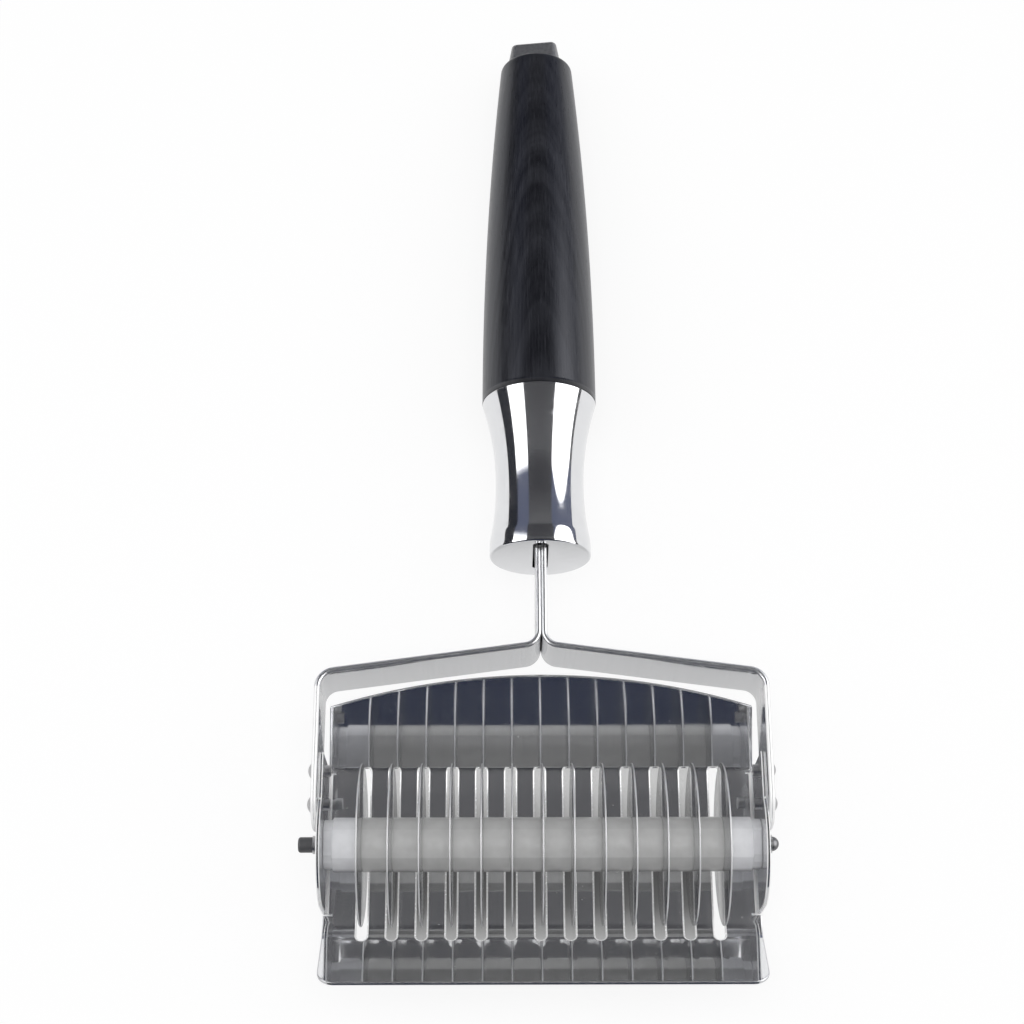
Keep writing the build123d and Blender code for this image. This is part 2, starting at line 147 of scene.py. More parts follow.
class ForkSizes(bpy.types.PropertyGroup):
    strip: length("Strip", "Thickness of the fork's strips", 0.0014)
    width: length("Strip width", "Width of the fork's strips", 0.0164)
    rise: length("Handle rise", "Height of the handle's axis above the axle", 0.0058)
    shoulder_height: length("Shoulder height", "From the axle to the shoulders at the middle", 0.0442)
    shoulder_fall: angle("Shoulder fall", "Fall of the shoulders towards the arms", 7.6)
    stem_bend: length("Stem bend", "Inner radius where the stem turns into the shoulder", 0.0028)
    arm_bend: length("Arm bend", "Inner radius where the shoulder turns into the arm", 0.0034)
    arm_end: length("Arm end", "From the axle to the arm's rounded end", 0.002)
    insert: length("Stem insert", "Length of the stem inside the ferrule", 0.022)
    rivet_hole: length("Rivet hole", "Diameter of the rivet holes", 0.0025)
    rivet_near: length("Near rivet", "From the axle to the near rivet", 0.00815)
    rivet_far: length("Far rivet", "From the axle to the far rivet", 0.0161)
    axle_hole: length("Axle hole", "Diameter of the axle's holes", 0.0029)
    edge_round: length("Edge round", "Rounding of the strips' edges", 0.00066)


class HandleSizes(bpy.types.PropertyGroup):
    ferrule_start: length("Ferrule start", "From the axle to the ferrule's lower face", 0.0689)
    ferrule_length: length("Ferrule length", "Length of the ferrule", 0.0409)
    lip_radius: length("Lip radius", "Radius of the ferrule's lip", 0.01235)
    lip: length("Lip", "Length of the ferrule's lip", 0.0038)
    lip_round: length("Lip round", "Rounding of the lip's edge", 0.0007)
    waist_radius: length("Waist radius", "Least radius of the ferrule", 0.01084)
    waist_at: length("Waist place", "From the ferrule's lower face to its waist", 0.0182)
    neck_blend: length("Neck blend", "Length over which the lip runs into the waist", 0.0026)
    mouth_width: length("Mouth width", "Width of the slot under the ferrule", 0.0037)
    mouth_length: length("Mouth length", "Length of the slot under the ferrule", 0.018)
    mouth_depth: length("Mouth depth", "Depth of the slot under the ferrule", 0.0015)
    mouth_lift: length("Mouth lift", "How far the slot's middle is above the handle's axis", 0.0016)
    grip_radius: length("Grip radius", "Radius of the grip where it meets the ferrule", 0.0142)
    grip_length: length("Grip length", "Length of the wooden grip", 0.09925)
    tail_radius: length("Tail radius", "Radius of the grip at its end", 0.0094)
    tail_round: length("Tail round", "Rounding of the grip's end", 0.001)


class FinishColours(bpy.types.PropertyGroup):
    sheet_steel: colour("Sheet steel", "Polished steel of the guard and the fork", (0.88, 0.885, 0.9))
    chrome: colour("Chrome", "Plating of the ferrule", (0.76, 0.765, 0.78))
    blade_steel: colour("Blade steel", "Ground steel of the blades", (0.52, 0.525, 0.54))
    rivet_steel: colour("Rivet steel", "Bright steel of the rivets and the axle's washers", (0.8, 0.8, 0.805))
    axle_steel: colour("Axle steel", "Darker steel of the axle and the tie rod", (0.3, 0.3, 0.31))
    cap_steel: colour("Cap steel", "Satin steel of the end cap", (0.4, 0.4, 0.405))
    plastic: colour("Spacer plastic", "Milky plastic of the spacers", (0.66, 0.66, 0.655))
    end_plastic: colour("End plastic", "Whiter plastic of the two end spacers", (0.82, 0.825, 0.85))
    cap_plastic: colour("Cap plastic", "Black plastic of the axle's cap", (0.055, 0.055, 0.058))
    wood_dark: colour("Wood, dark", "Stained wood between the grain lines", (0.0032, 0.0034, 0.0052))
    wood_light: colour("Wood, light", "Stained wood on the grain lines", (0.033, 0.034, 0.041))


class StageSettings(bpy.types.PropertyGroup):
    eye: bpy.props.FloatVectorProperty(
        name="Eye", description="Place of the camera", default=(-0.006572, -0.157843, 0.477986),
        size=3, subtype="TRANSLATION", unit="LENGTH",
    )
    look: direction("Look", "Direction in which the camera looks", (0.001187, 0.306509, -0.951867))
    right: direction("Right", "Direction to the right of the picture", (0.999993, -0.00234, 0.000022))
    lens: bpy.props.FloatProperty(
        name="Lens", description="Focal length of the camera", default=69.097, min=1.0,
        subtype="DISTANCE_CAMERA",
    )
    floor: colour("Floor", "Colour of the table", (0.92, 0.92, 0.925))
    lamp: amount("Side lamps", "Power of each side lamp in watts", 2.4, 100.0)
    top_lamp: amount("Top lamp", "Power of the lamp over the tool in watts", 5.2, 100.0)
    fill: amount("Fill", "Strength of the even light from all round", 0.45, 10.0)


def millimetres(group):
    """The group's sizes in millimetres, with angles and plain numbers as they are."""
    sizes = {}
    for key, prop in group.bl_rna.properties.items():
        if prop.type == "FLOAT" and not prop.is_array:
            sizes[key] = getattr(group, key) * (1000 if prop.unit == "LENGTH" else 1)
    return SimpleNamespace(**sizes)


def tool_sizes(context):
    scene = context.scene
    return millimetres(scene.guard_sizes), millimetres(scene.fork_sizes), millimetres(scene.handle_sizes)


def resting_tilt(handle, fork):
    """Dip of the handle, from where the hanging hole lies and where it is on the upright drawing."""
    end = handle.ferrule_start + handle.ferrule_length + handle.grip_length
    hole_along = end + HOLE_FROM_GRIP
    across = HANGING_HOLE - AXLE
    return math.atan2(fork.rise, hole_along) - math.atan2(across.z, across.y)


def alone(piece):
    """Makes a piece the only one selected, and the active one."""
    bpy.ops.object.select_all(action="DESELECT")
    piece.select_set(True)
    bpy.context.view_layer.objects.active = piece


def settle():
    """Takes the active piece's place, turn and scale into its mesh."""
    bpy.ops.object.transform_apply(location=True, rotation=True, scale=True)


def settled(name):
    """The new primitive, settled and named."""
    settle()
    piece = bpy.context.object
    piece.name = piece.data.name = name
    return piece


def copy_of(piece, name):
    """A copy with its own mesh, selected alone."""
    alone(piece)
    bpy.ops.object.duplicate()
    copy = bpy.context.object
    copy.name = copy.data.name = name
    return copy


def discard(piece):
    mesh = piece.data
    bpy.data.objects.remove(piece)
    bpy.data.meshes.remove(mesh)


def block(name, low, high):
    """A box between two corners, on the upright drawing in millimetres."""
    middle = [(a + b) / 2 for a, b in zip(low, high)]
    size = [b - a for a, b in zip(low, high)]
    bpy.ops.object.select_all(action="DESELECT")
    bpy.ops.mesh.primitive_cube_add(size=1, location=middle, scale=size)
    return settled(name)


def bar(name, radius, depth, place, turn, sides):
    """A round bar about a place, turned from upright."""
    bpy.ops.object.select_all(action="DESELECT")
    bpy.ops.mesh.primitive_cylinder_add(
        vertices=sides, radius=radius, depth=depth, location=place, rotation=turn
    )
    return settled(name)


def shape(piece):
    """Opens a piece in edit mode, with nothing else selected."""
    alone(piece)
    bpy.ops.object.mode_set(mode="EDIT")


def close_up():
    """Merges what meets, turns the faces outwards and leaves edit mode."""
    bpy.ops.mesh.select_all(action="SELECT")
    bpy.ops.mesh.remove_doubles(threshold=MERGE)
    bpy.ops.mesh.normals_make_consistent(inside=False)
    bpy.ops.object.mode_set(mode="OBJECT")


def pick(kind, test):
    """Selects the faces, edges or corners of the open piece that pass a test."""
    piece = bpy.context.object
    bpy.ops.mesh.select_mode(type=kind)
    bpy.ops.mesh.select_all(action="DESELECT")
    mesh = bmesh.from_edit_mesh(piece.data)
    parts = {"FACE": mesh.faces, "EDGE": mesh.edges, "VERT": mesh.verts}[kind]
    found = [part for part in parts if test(part)]
    if not found:
        raise RuntimeError(f"{piece.name}: nothing to select")
    for part in found:
        part.select_set(True)
    bmesh.update_edit_mesh(piece.data)


def pick_faces(normal, where):
    direction = Vector(normal)
    pick("FACE", lambda face: face.normal.dot(direction) > ALIGNED and where(face.calc_center_median()))


def pick_edges(direction, where):
    way = Vector(direction).normalized()

    def runs(edge):
        line = edge.verts[1].co - edge.verts[0].co
        return abs(line.normalized().dot(way)) > ALIGNED and all(where(corner.co) for corner in edge.verts)

    pick("EDGE", runs)


def move_corners(test, x, y, z):
    pick("VERT", test)
    bpy.ops.transform.translate(value=(x, y, z))


def round_corner(place, width, segments):
    """Rounds the corner of a traced section that lies at a place."""
    corner = Vector(place)
    pick("VERT", lambda v: (v.co - corner).length < NEAR)
    bpy.ops.mesh.bevel(offset=width, segments=segments, affect="VERTICES")


def mark_across(place, normal):
    """Draws a line of edges round the whole open piece, where a plane meets it."""
    bpy.ops.mesh.select_all(action="SELECT")
    bpy.ops.mesh.bisect(plane_co=place, plane_no=normal)


def extrude(x, y, z):
    bpy.ops.mesh.extrude_region_move(TRANSFORM_OT_translate={"value": (x, y, z)})


def spin(centre, axis, turn, steps):
    """Sweeps the selection round an axis. Blender's spin turns the other way, so the angle is negated."""
    bpy.ops.mesh.spin(steps=steps, angle=-turn, center=centre, axis=axis)


def cut(piece, cutter):
    """Takes one shape out of another."""
    alone(piece)
    step = piece.modifiers.new("cut", "BOOLEAN")
    step.operation = "DIFFERENCE"
    step.solver = "EXACT"
    step.object = cutter
    bpy.ops.object.modifier_apply(modifier=step.name)
    discard(cutter)


def soften(piece, width, segments=2, rim=-1, share=None):
    """Rounds the sharp edges, each by its share of the width, and keeps the flats flat. The rounds get the
    rim's material, if any."""
    if share:
        shape(piece)
        found = {}
        made = bmesh.from_edit_mesh(piece.data)
        for edge in made.edges:
            if edge.calc_face_angle(0.0) > SHARP:
                found.setdefault(share(edge), set()).add(edge.index)
        for part, numbers in found.items():
            pick("EDGE", lambda edge: edge.index in numbers)
            if part:
                bpy.ops.transform.edge_bevelweight(value=part)
            else:
                bpy.ops.mesh.mark_sharp()
        bpy.ops.object.mode_set(mode="OBJECT")
    alone(piece)
    bpy.ops.object.shade_smooth()
    edge = piece.modifiers.new("edges", "BEVEL")
    edge.width = width
    edge.segments = segments
    edge.limit_method = "WEIGHT" if share else "ANGLE"
    edge.angle_limit = SHARP
    edge.use_clamp_overlap = False
    edge.harden_normals = True
    edge.material = rim
    bpy.ops.object.modifier_apply(modifier=edge.name)


def lay_down(piece, tilt):
    """Brings a piece from the upright drawing in millimetres to where the tool lies on the table."""
    alone(piece)
    piece.scale = (0.001, 0.001, 0.001)
    piece.rotation_euler = (-tilt, 0.0, 0.0)
    piece.location = AXLE
    settle()


def outline(name, along, radius, rise):
    """One corner to trace a half section from, open in edit mode."""
    bpy.ops.object.select_all(action="DESELECT")
    bpy.ops.mesh.primitive_plane_add(size=1, location=(0, 0, 0))
    piece = settled(name)
    shape(piece)
    bpy.ops.mesh.select_mode(type="VERT")
    bpy.ops.mesh.select_all(action="SELECT")
    bpy.ops.mesh.merge(type="CENTER")
    move_corners(lambda corner: True, radius, along, rise)
    return piece


def turn_section(centre, axis, steps):
    """Turns the traced half section all the way round an axis."""
    bpy.ops.mesh.select_all(action="SELECT")
    bpy.ops.mesh.spin(steps=steps, angle=2 * math.pi, center=centre, axis=axis)
    close_up()


def arc_through(first, second, third):
    """Centre of the circle through three points of a section, and the turn from the first to the third."""
    (ax, ay), (bx, by), (cx, cy) = first, second, third
    d = 2 * (ax * (by - cy) + bx * (cy - ay) + cx * (ay - by))
    a2, b2, c2 = ax * ax + ay * ay, bx * bx + by * by, cx * cx + cy * cy
    ux = (a2 * (by - cy) + b2 * (cy - ay) + c2 * (ay - by)) / d
    uy = (a2 * (cx - bx) + b2 * (ax - cx) + c2 * (bx - ax)) / d
    turn = math.atan2(cy - uy, cx - ux) - math.atan2(ay - uy, ax - ux)
    turn = (turn + math.pi) % (2 * math.pi) - math.pi
    return (ux, uy), turn


class Finish:
    """A material with one Principled shader and short calls for its nodes."""

    def __init__(self, name, tilt=0.0):
        self.material = bpy.data.materials.new(name)
        self.material.use_nodes = True
        self.tree = self.material.node_tree
        self.shader = self.tree.nodes["Principled BSDF"]
        self.tilt = tilt

    def node(self, kind, **settings):
        made = self.tree.nodes.new(kind)
        for key, value in settings.items():
            setattr(made, key, value)
        return made

    def join(self, out, into):
        self.tree.links.new(out, into)

    def set(self, **values):
        for key, value in values.items():
            self.shader.inputs[key.replace("_", " ")].default_value = value

    def feed(self, **outs):
        """Joins node outputs to the shader's inputs."""
        for key, out in outs.items():
            self.join(out, self.shader.inputs[key.replace("_", " ")])

    def parts(self, where):
        """The X, Y and Z of a place."""
        made = self.node("ShaderNodeSeparateXYZ")
        self.join(where, made.inputs["Vector"])
        return made.outputs

    def place(self):
        """Object coordinates in millimetres, on the upright drawing with the axle at the origin."""
        where = self.node("ShaderNodeTexCoord").outputs["Object"]
        mapping = self.node("ShaderNodeMapping", vector_type="POINT")
        turn = Matrix.Rotation(self.tilt, 3, "X")
        mapping.inputs["Rotation"].default_value = (self.tilt, 0.0, 0.0)
        mapping.inputs["Scale"].default_value = (1000.0, 1000.0, 1000.0)
        mapping.inputs["Location"].default_value = -(turn @ (AXLE * 1000.0))
        self.join(where, mapping.inputs["Vector"])
        return mapping.outputs["Vector"]

    def stretched(self, where, x, y, z):
        mapping = self.node("ShaderNodeMapping", vector_type="POINT")
        mapping.inputs["Scale"].default_value = (x, y, z)
        self.join(where, mapping.inputs["Vector"])
        return mapping.outputs["Vector"]

    def noise(self, where, scale, detail=4.0, rough=0.55, distort=0.0):
        made = self.node("ShaderNodeTexNoise")
        made.inputs["Scale"].default_value = scale
        made.inputs["Detail"].default_value = detail
        made.inputs["Roughness"].default_value = rough
        made.inputs["Distortion"].default_value = distort
        self.join(where, made.inputs["Vector"])
        return made.outputs["Fac"]

    def span(self, value, low, high, to_low, to_high, smooth=False):
        made = self.node("ShaderNodeMapRange", clamp=True)
        if smooth:
            made.interpolation_type = "SMOOTHSTEP"
        for index, number in enumerate((low, high, to_low, to_high)):
            made.inputs[index + 1].default_value = number
        self.join(value, made.inputs["Value"])
        return made.outputs["Result"]

    def sum(self, operation, first, second):
        made = self.node("ShaderNodeMath", operation=operation)
        for socket, value in zip(made.inputs, (first, second)):
            if isinstance(value, (int, float)):
                socket.default_value = value
            else:
                self.join(value, socket)
        return made.outputs["Value"]

    def product(self, first, *others):
        for other in others:
            first = self.sum("MULTIPLY", first, other)
        return first

    def degrees(self, operation, first, second=0.0):
        return self.sum("MULTIPLY", self.sum(operation, first, second), 180 / math.pi)

    def rings(self, first, second, scale, detail, rough):
        """Noise in rings about the line from which two distances are measured."""
        squares = self.sum("ADD", self.product(first, first), self.product(second, second))
        place = self.node("ShaderNodeCombineXYZ")
        self.join(self.sum("SQRT", squares, 0.0), place.inputs["X"])
        return self.noise(place.outputs["Vector"], scale, detail, rough)

    def ramp(self, value, low, high, stops, blend="LINEAR"):
        """Tones along a value, from pairs of a value and its tone that start at the low end."""
        made = self.node("ShaderNodeValToRGB")
        made.color_ramp.interpolation = blend
        marks = made.color_ramp.elements
        marks.remove(marks[1])
        for number, (at, tone) in enumerate(stops):
            spot = (at - low) / (high - low)
            mark = marks.new(spot) if number else marks[0]
            mark.position = spot
            mark.color = (*tone, 1.0)
        self.join(self.span(value, low, high, 0.0, 1.0), made.inputs["Fac"])
        return made.outputs["Color"]

    def mix(self, factor, first, second):
        made = self.node("ShaderNodeMix", data_type="RGBA")
        self.join(factor, made.inputs["Factor"])
        for socket, value in ((made.inputs[6], first), (made.inputs[7], second)):
            if isinstance(value, (tuple, list)):
                socket.default_value = (*value, 1.0)
            else:
                self.join(value, socket)
        return made.outputs[2]

    def bump(self, height, strength, distance):
        made = self.node("ShaderNodeBump")
        made.inputs["Strength"].default_value = strength
        made.inputs["Distance"].default_value = distance
        self.join(height, made.inputs["Height"])
        self.join(made.outputs["Normal"], self.shader.inputs["Normal"])


def shaded(tone, factor):
    return tuple(channel * factor for channel in tone)


def polished_sheet(tone, tilt):
    """Polished sheet: fine lines of the polishing belt, soft smears and a few specks of dust."""
    finish = Finish("polished_sheet_steel", tilt)
    where = finish.place()
    lines = finish.noise(finish.stretched(where, 9.0, 0.06, 0.06), 1.0, 5.0, 0.7)
    smears = finish.noise(where, 0.09, 3.0, 0.5, 0.6)
    streaks = finish.noise(finish.stretched(where, 1.1, 0.07, 0.07), 1.0, 3.0, 0.6, 0.4)
    dust = finish.span(finish.noise(where, 1.9, 1.0, 0.5), 0.79, 0.83, 0.0, 1.0)
    line_rough = finish.span(lines, 0.35, 0.75, 0.03, 0.07)
    smear_rough = finish.span(smears, 0.45, 0.75, 0.0, 0.05)
    smear_rough = finish.sum("ADD", smear_rough, finish.sum("MULTIPLY", dust, 0.5))
    finish.feed(
        Base_Color=finish.mix(finish.span(lines, 0.3, 0.7, 0.0, 1.0), shaded(tone, 0.93), tone),
        Roughness=finish.sum("ADD", line_rough, smear_rough),
        Metallic=finish.span(dust, 0.0, 1.0, 1.0, 0.3),
        Coat_Weight=finish.span(streaks, 0.35, 0.65, 0.68, 1.0),
    )
    finish.bump(lines, 0.02, 0.00002)
    finish.set(Coat_Roughness=0.45, Coat_IOR=2.15)
    return finish.material


def tumbled_rim(name, dark, light, scale, metal, tilt):
    """Cut edges of a sheet, rounded by tumbling and matt against the polished faces. Given near-white tones, it is
    a painted highlight.
    """
    finish = Finish(name, tilt)
    nicks = finish.noise(finish.place(), scale, 4.0, 0.6)
    finish.feed(
        Base_Color=finish.mix(finish.span(nicks, 0.35, 0.7, 0.0, 1.0), dark, light),
        Roughness=finish.span(nicks, 0.3, 0.7, 0.3, 0.42),
    )
    finish.bump(nicks, 0.06, 0.00003)
    finish.set(Metallic=metal)
    return finish.material


def slot_rim(tilt):
    """Rolled edges of the slots, polished nearly as far as the sheet, near-white and with a painted white glow
    that stands in for their highlight.
    """
    finish = Finish("slot_rim", tilt)
    nicks = finish.noise(finish.place(), 2.6, 4.0, 0.6)
    finish.feed(
        Base_Color=finish.mix(nicks, (0.9, 0.9, 0.9), (0.97, 0.97, 0.97)),
        Roughness=finish.span(nicks, 0.3, 0.7, 0.2, 0.3),
    )
    # Painted highlight: a white glow on the slot rims, though they are no lamp.
    finish.set(Metallic=0.5, Emission_Color=(*WHITE, 1.0), Emission_Strength=0.28)
    return finish.material


def mirror_plate(tone, tilt):
    """Bright plating with faint turning marks and finger smears."""
    finish = Finish("mirror_plate", tilt)
    where = finish.place()
    rings = finish.noise(finish.stretched(where, 0.05, 7.0, 0.05), 1.0, 4.0, 0.6)
    smears = finish.noise(where, 0.22, 4.0, 0.6, 1.2)
    ring_rough = finish.span(rings, 0.3, 0.7, 0.03, 0.06)
    smear_rough = finish.span(smears, 0.5, 0.75, 0.0, 0.12)
    finish.feed(
        Base_Color=finish.mix(finish.span(smears, 0.4, 0.75, 0.0, 1.0), tone, shaded(tone, 0.95)),
        Roughness=finish.sum("ADD", ring_rough, smear_rough),
    )
    finish.bump(rings, 0.015, 0.00002)
    finish.set(Metallic=1.0, Coat_Weight=0.5, Coat_Roughness=0.4, Coat_IOR=1.7)
    return finish.material


def ground_blade(tone, tilt):
    """Disc ground in rings about the axle, a little cloudy."""
    finish = Finish("ground_blade_steel", tilt)
    where = finish.place()
    parts = finish.parts(where)
    rings = finish.rings(parts["Y"], parts["Z"], 5.0, 5.0, 0.7)
    cloud = finish.noise(where, 0.25, 3.0)
    ring_rough = finish.span(rings, 0.3, 0.7, 0.05, 0.09)
    cloud_rough = finish.span(cloud, 0.4, 0.7, 0.0, 0.04)
    finish.feed(
        Base_Color=finish.mix(finish.span(cloud, 0.35, 0.7, 0.0, 1.0), tone, shaded(tone, 0.9)),
        Roughness=finish.sum("ADD", ring_rough, cloud_rough),
    )
    finish.bump(rings, 0.04, 0.00002)
    finish.set(Metallic=1.0, Coat_Weight=0.7, Coat_Roughness=0.45, Coat_IOR=1.8)
    return finish.material


def blade_edge(tilt):
    """Rim of a blade, polished less than its faces."""
    finish = Finish("blade_edge_steel", tilt)
    cloud = finish.noise(finish.place(), 0.3, 2.0)
    finish.feed(
        Base_Color=finish.mix(cloud, (0.7, 0.7, 0.71), (0.78, 0.78, 0.79)),
        Roughness=finish.span(cloud, 0.3, 0.7, 0.44, 0.5),
    )
    finish.set(Metallic=0.7)
    return finish.material


def worn_steel(name, tone, rough, tilt):
    """Bare steel of small turned parts, uneven and a little dull."""
    finish = Finish(name, tilt)
    where = finish.place()
    patches = finish.noise(where, 1.3, 4.0, 0.6)
    turning = finish.noise(finish.stretched(where, 12.0, 1.0, 1.0), 1.0, 3.0, 0.6)
    finish.feed(
        Base_Color=finish.mix(finish.span(patches, 0.35, 0.7, 0.0, 1.0), shaded(tone, 0.72), tone),
        Roughness=finish.span(patches, 0.3, 0.7, rough * 0.8, rough * 1.25),
    )
    finish.bump(turning, 0.08, 0.00003)
    finish.set(Metallic=1.0)
    return finish.material


def painted_light_bands(finish, where):
    """Painted light and shade in bands along the hub: how light the plastic is painted round the axle, by degrees
    from the rear.
    """
    parts = finish.parts(where)
    around = finish.degrees("ARCTAN2", parts["Z"], parts["Y"])
    levels = (
        (-180, 0.5), (-148, 0.5), (-142, 1.0), (-70, 1.0), (-60, 0.72), (18, 0.72), (22, 0.93), (68, 0.93),
        (70, 1.0), (129, 1.0), (133, 0.84), (160, 0.8), (180, 0.5),
    )
    stops = [(turn, (level, level, level)) for turn, level in levels]
    return finish.ramp(around, -180, 180, stops, "EASE")


def milky_plastic(name, tone, clear, painted_glow, tilt):
    """Translucent moulded plastic with a waxy skin, with a painted glow that brightens it all round and painted
    bands of light and shade along the hub.
    """
    finish = Finish(name, tilt)
    where = finish.place()
    cloud = finish.noise(where, 0.35, 3.0, 0.5)
    grain = finish.noise(where, 6.0, 3.0, 0.6)
    tint_and_shade = finish.mix(finish.span(cloud, 0.35, 0.7, 0.0, 1.0), tone, shaded(tone, 0.92))
    # Painted light and shade: the hub's tone is scaled by the bands round the axle.
    tint_and_shade = finish.mix(painted_light_bands(finish, where), (0.0, 0.0, 0.0), tint_and_shade)
    rough = finish.span(grain, 0.3, 0.7, 0.16, 0.24)
    finish.feed(Base_Color=tint_and_shade, Emission_Color=tint_and_shade, Roughness=rough)
    finish.bump(grain, 0.05, 0.00003)
    # Painted glow: the plastic emits light of its own colour, though it is no lamp.
    finish.set(Transmission_Weight=clear, IOR=1.48, Emission_Strength=painted_glow)
    finish.set(Subsurface_Weight=0.8, Subsurface_Radius=WHITE, Subsurface_Scale=0.008)
    return finish.material


def black_plastic(tone, tilt):
    """Black push-on cap with a fine moulded texture."""
    finish = Finish("black_cap_plastic", tilt)
    grain = finish.noise(finish.place(), 7.0, 3.0, 0.6)
    finish.feed(
        Base_Color=finish.mix(grain, tone, shaded(tone, 1.7)),
        Roughness=finish.span(grain, 0.3, 0.7, 0.32, 0.5),
    )
    finish.bump(grain, 0.12, 0.00004)
    return finish.material


# Middle of the growth rings: how far it lies under the axle, and how it slopes along the grip
PITH_DEPTH = 34.0
PITH_SLOPE = -0.06


def stained_wood(dark, light, tilt):
    """Black-stained wood: long growth lines that arch over the grip, fine fibres and open pores under wax."""
    finish = Finish("stained_wood", tilt)
    where = finish.place()
    parts = finish.parts(where)
    sway = finish.noise(finish.stretched(where, 0.06, 0.012, 0.06), 1.0, 2.0, 0.5)
    side = finish.sum("ADD", parts["X"], finish.span(sway, 0.2, 0.8, -6.0, 6.0))
    deep = finish.sum("ADD", parts["Z"], finish.sum("MULTIPLY", parts["Y"], PITH_SLOPE))
    rings = finish.rings(side, finish.sum("ADD", deep, PITH_DEPTH), 0.85, 4.0, 0.65)
    fibres = finish.noise(finish.stretched(where, 3.0, 0.05, 3.0), 1.0, 5.0, 0.7)
    pores = finish.noise(finish.stretched(where, 5.5, 0.22, 5.5), 1.0, 2.0, 0.4)
    ring_grain = finish.span(rings, 0.42, 0.68, 0.0, 0.55)
    fibre_grain = finish.span(fibres, 0.46, 0.72, 0.0, 0.45)
    wax = finish.span(fibres, 0.3, 0.7, 0.26, 0.36)
    open_pores = finish.span(pores, 0.6, 0.75, 0.0, 0.14)
    finish.feed(
        Base_Color=finish.mix(finish.sum("ADD", ring_grain, fibre_grain), dark, light),
        Roughness=finish.sum("ADD", wax, open_pores),
    )
    pore_depth = finish.span(pores, 0.6, 0.75, 0.0, 0.5)
    finish.bump(finish.sum("SUBTRACT", finish.sum("MULTIPLY", fibres, 0.5), pore_depth), 0.3, 0.00007)
    finish.set(Specular_IOR_Level=0.62, Specular_Tint=(0.9, 0.92, 1.0, 1.0))
    return finish.material


def dress(piece, *materials):
    piece.data.materials.clear()
    for material in materials:
        piece.data.materials.append(material)


def make_finishes(context):
    """Every finish of the tool, by a short name."""
    _, fork, handle = tool_sizes(context)
    colours = context.scene.finish_colours
    tilt = resting_tilt(handle, fork)

    def tone(key):
        return tuple(getattr(colours, key))

    sheet = tone("sheet_steel")
    return {
        "sheet": polished_sheet(sheet, tilt),
        "rim": tumbled_rim("tumbled_rim", shaded(sheet, 0.94), sheet, 2.2, 1.0, tilt),
        "chrome": mirror_plate(tone("chrome"), tilt),
        "blade": ground_blade(tone("blade_steel"), tilt),
        # Near-white, nearly non-metal edges: painted highlight on the rounded steel edges, with real nicks.
        "bright_rim": tumbled_rim("bright_rim", (0.93, 0.93, 0.93), (0.98, 0.98, 0.98), 2.6, 0.1, tilt),
        "slot_rim": slot_rim(tilt),
        "blade_edge": blade_edge(tilt),
        "rivet": worn_steel("rivet_steel", tone("rivet_steel"), 0.34, tilt),
        "axle": worn_steel("axle_steel", tone("axle_steel"), 0.42, tilt),
        "cap": worn_steel("satin_cap_steel", tone("cap_steel"), 0.5, tilt),
        # Near-black steel inside the ferrule's mouth: partly the darker unplated steel, partly painted shade in
        # the recess.
        "bore": worn_steel("unplated_bore", (0.07, 0.07, 0.075), 0.5, tilt),
        # The spacers glow with painted light, the end spacers less.
        "plastic": milky_plastic("milky_plastic", tone("plastic"), 0.25, 0.18, tilt),
        "end_plastic": milky_plastic("white_end_plastic", tone("end_plastic"), 0.1, 0.12, tilt),
        "black": black_plastic(tone("cap_plastic"), tilt),
        "wood": stained_wood(tone("wood_dark"), tone("wood_light"), tilt),
    }


FINISHES = {}

# Material slots of the sheet's edges; the second is near-white as a painted highlight, the third glows as a
# painted highlight
RIM, HIGHLIGHT_RIM, GLOWING_SLOT_RIM = 1, 2, 3


def finishes(context, *keys):
    """The finishes with these names. All are made at the first call."""
    if not FINISHES:
        FINISHES.update(make_finishes(context))
    return [FINISHES[key] for key in keys]


def drill(piece, fork, with_axle):
    """Rivet holes, and the axle's holes where a piece has them, through both sides at once."""
    places = [(fork.rivet_near, fork.rise, fork.rivet_hole), (fork.rivet_far, fork.rise, fork.rivet_hole)]
    if with_axle:
        places.append((0.0, 0.0, fork.axle_hole))
    for along, up, diameter in places:
        cut(piece, bar("drill", diameter / 2, THROUGH, (0.0, along, up), ACROSS, 32))


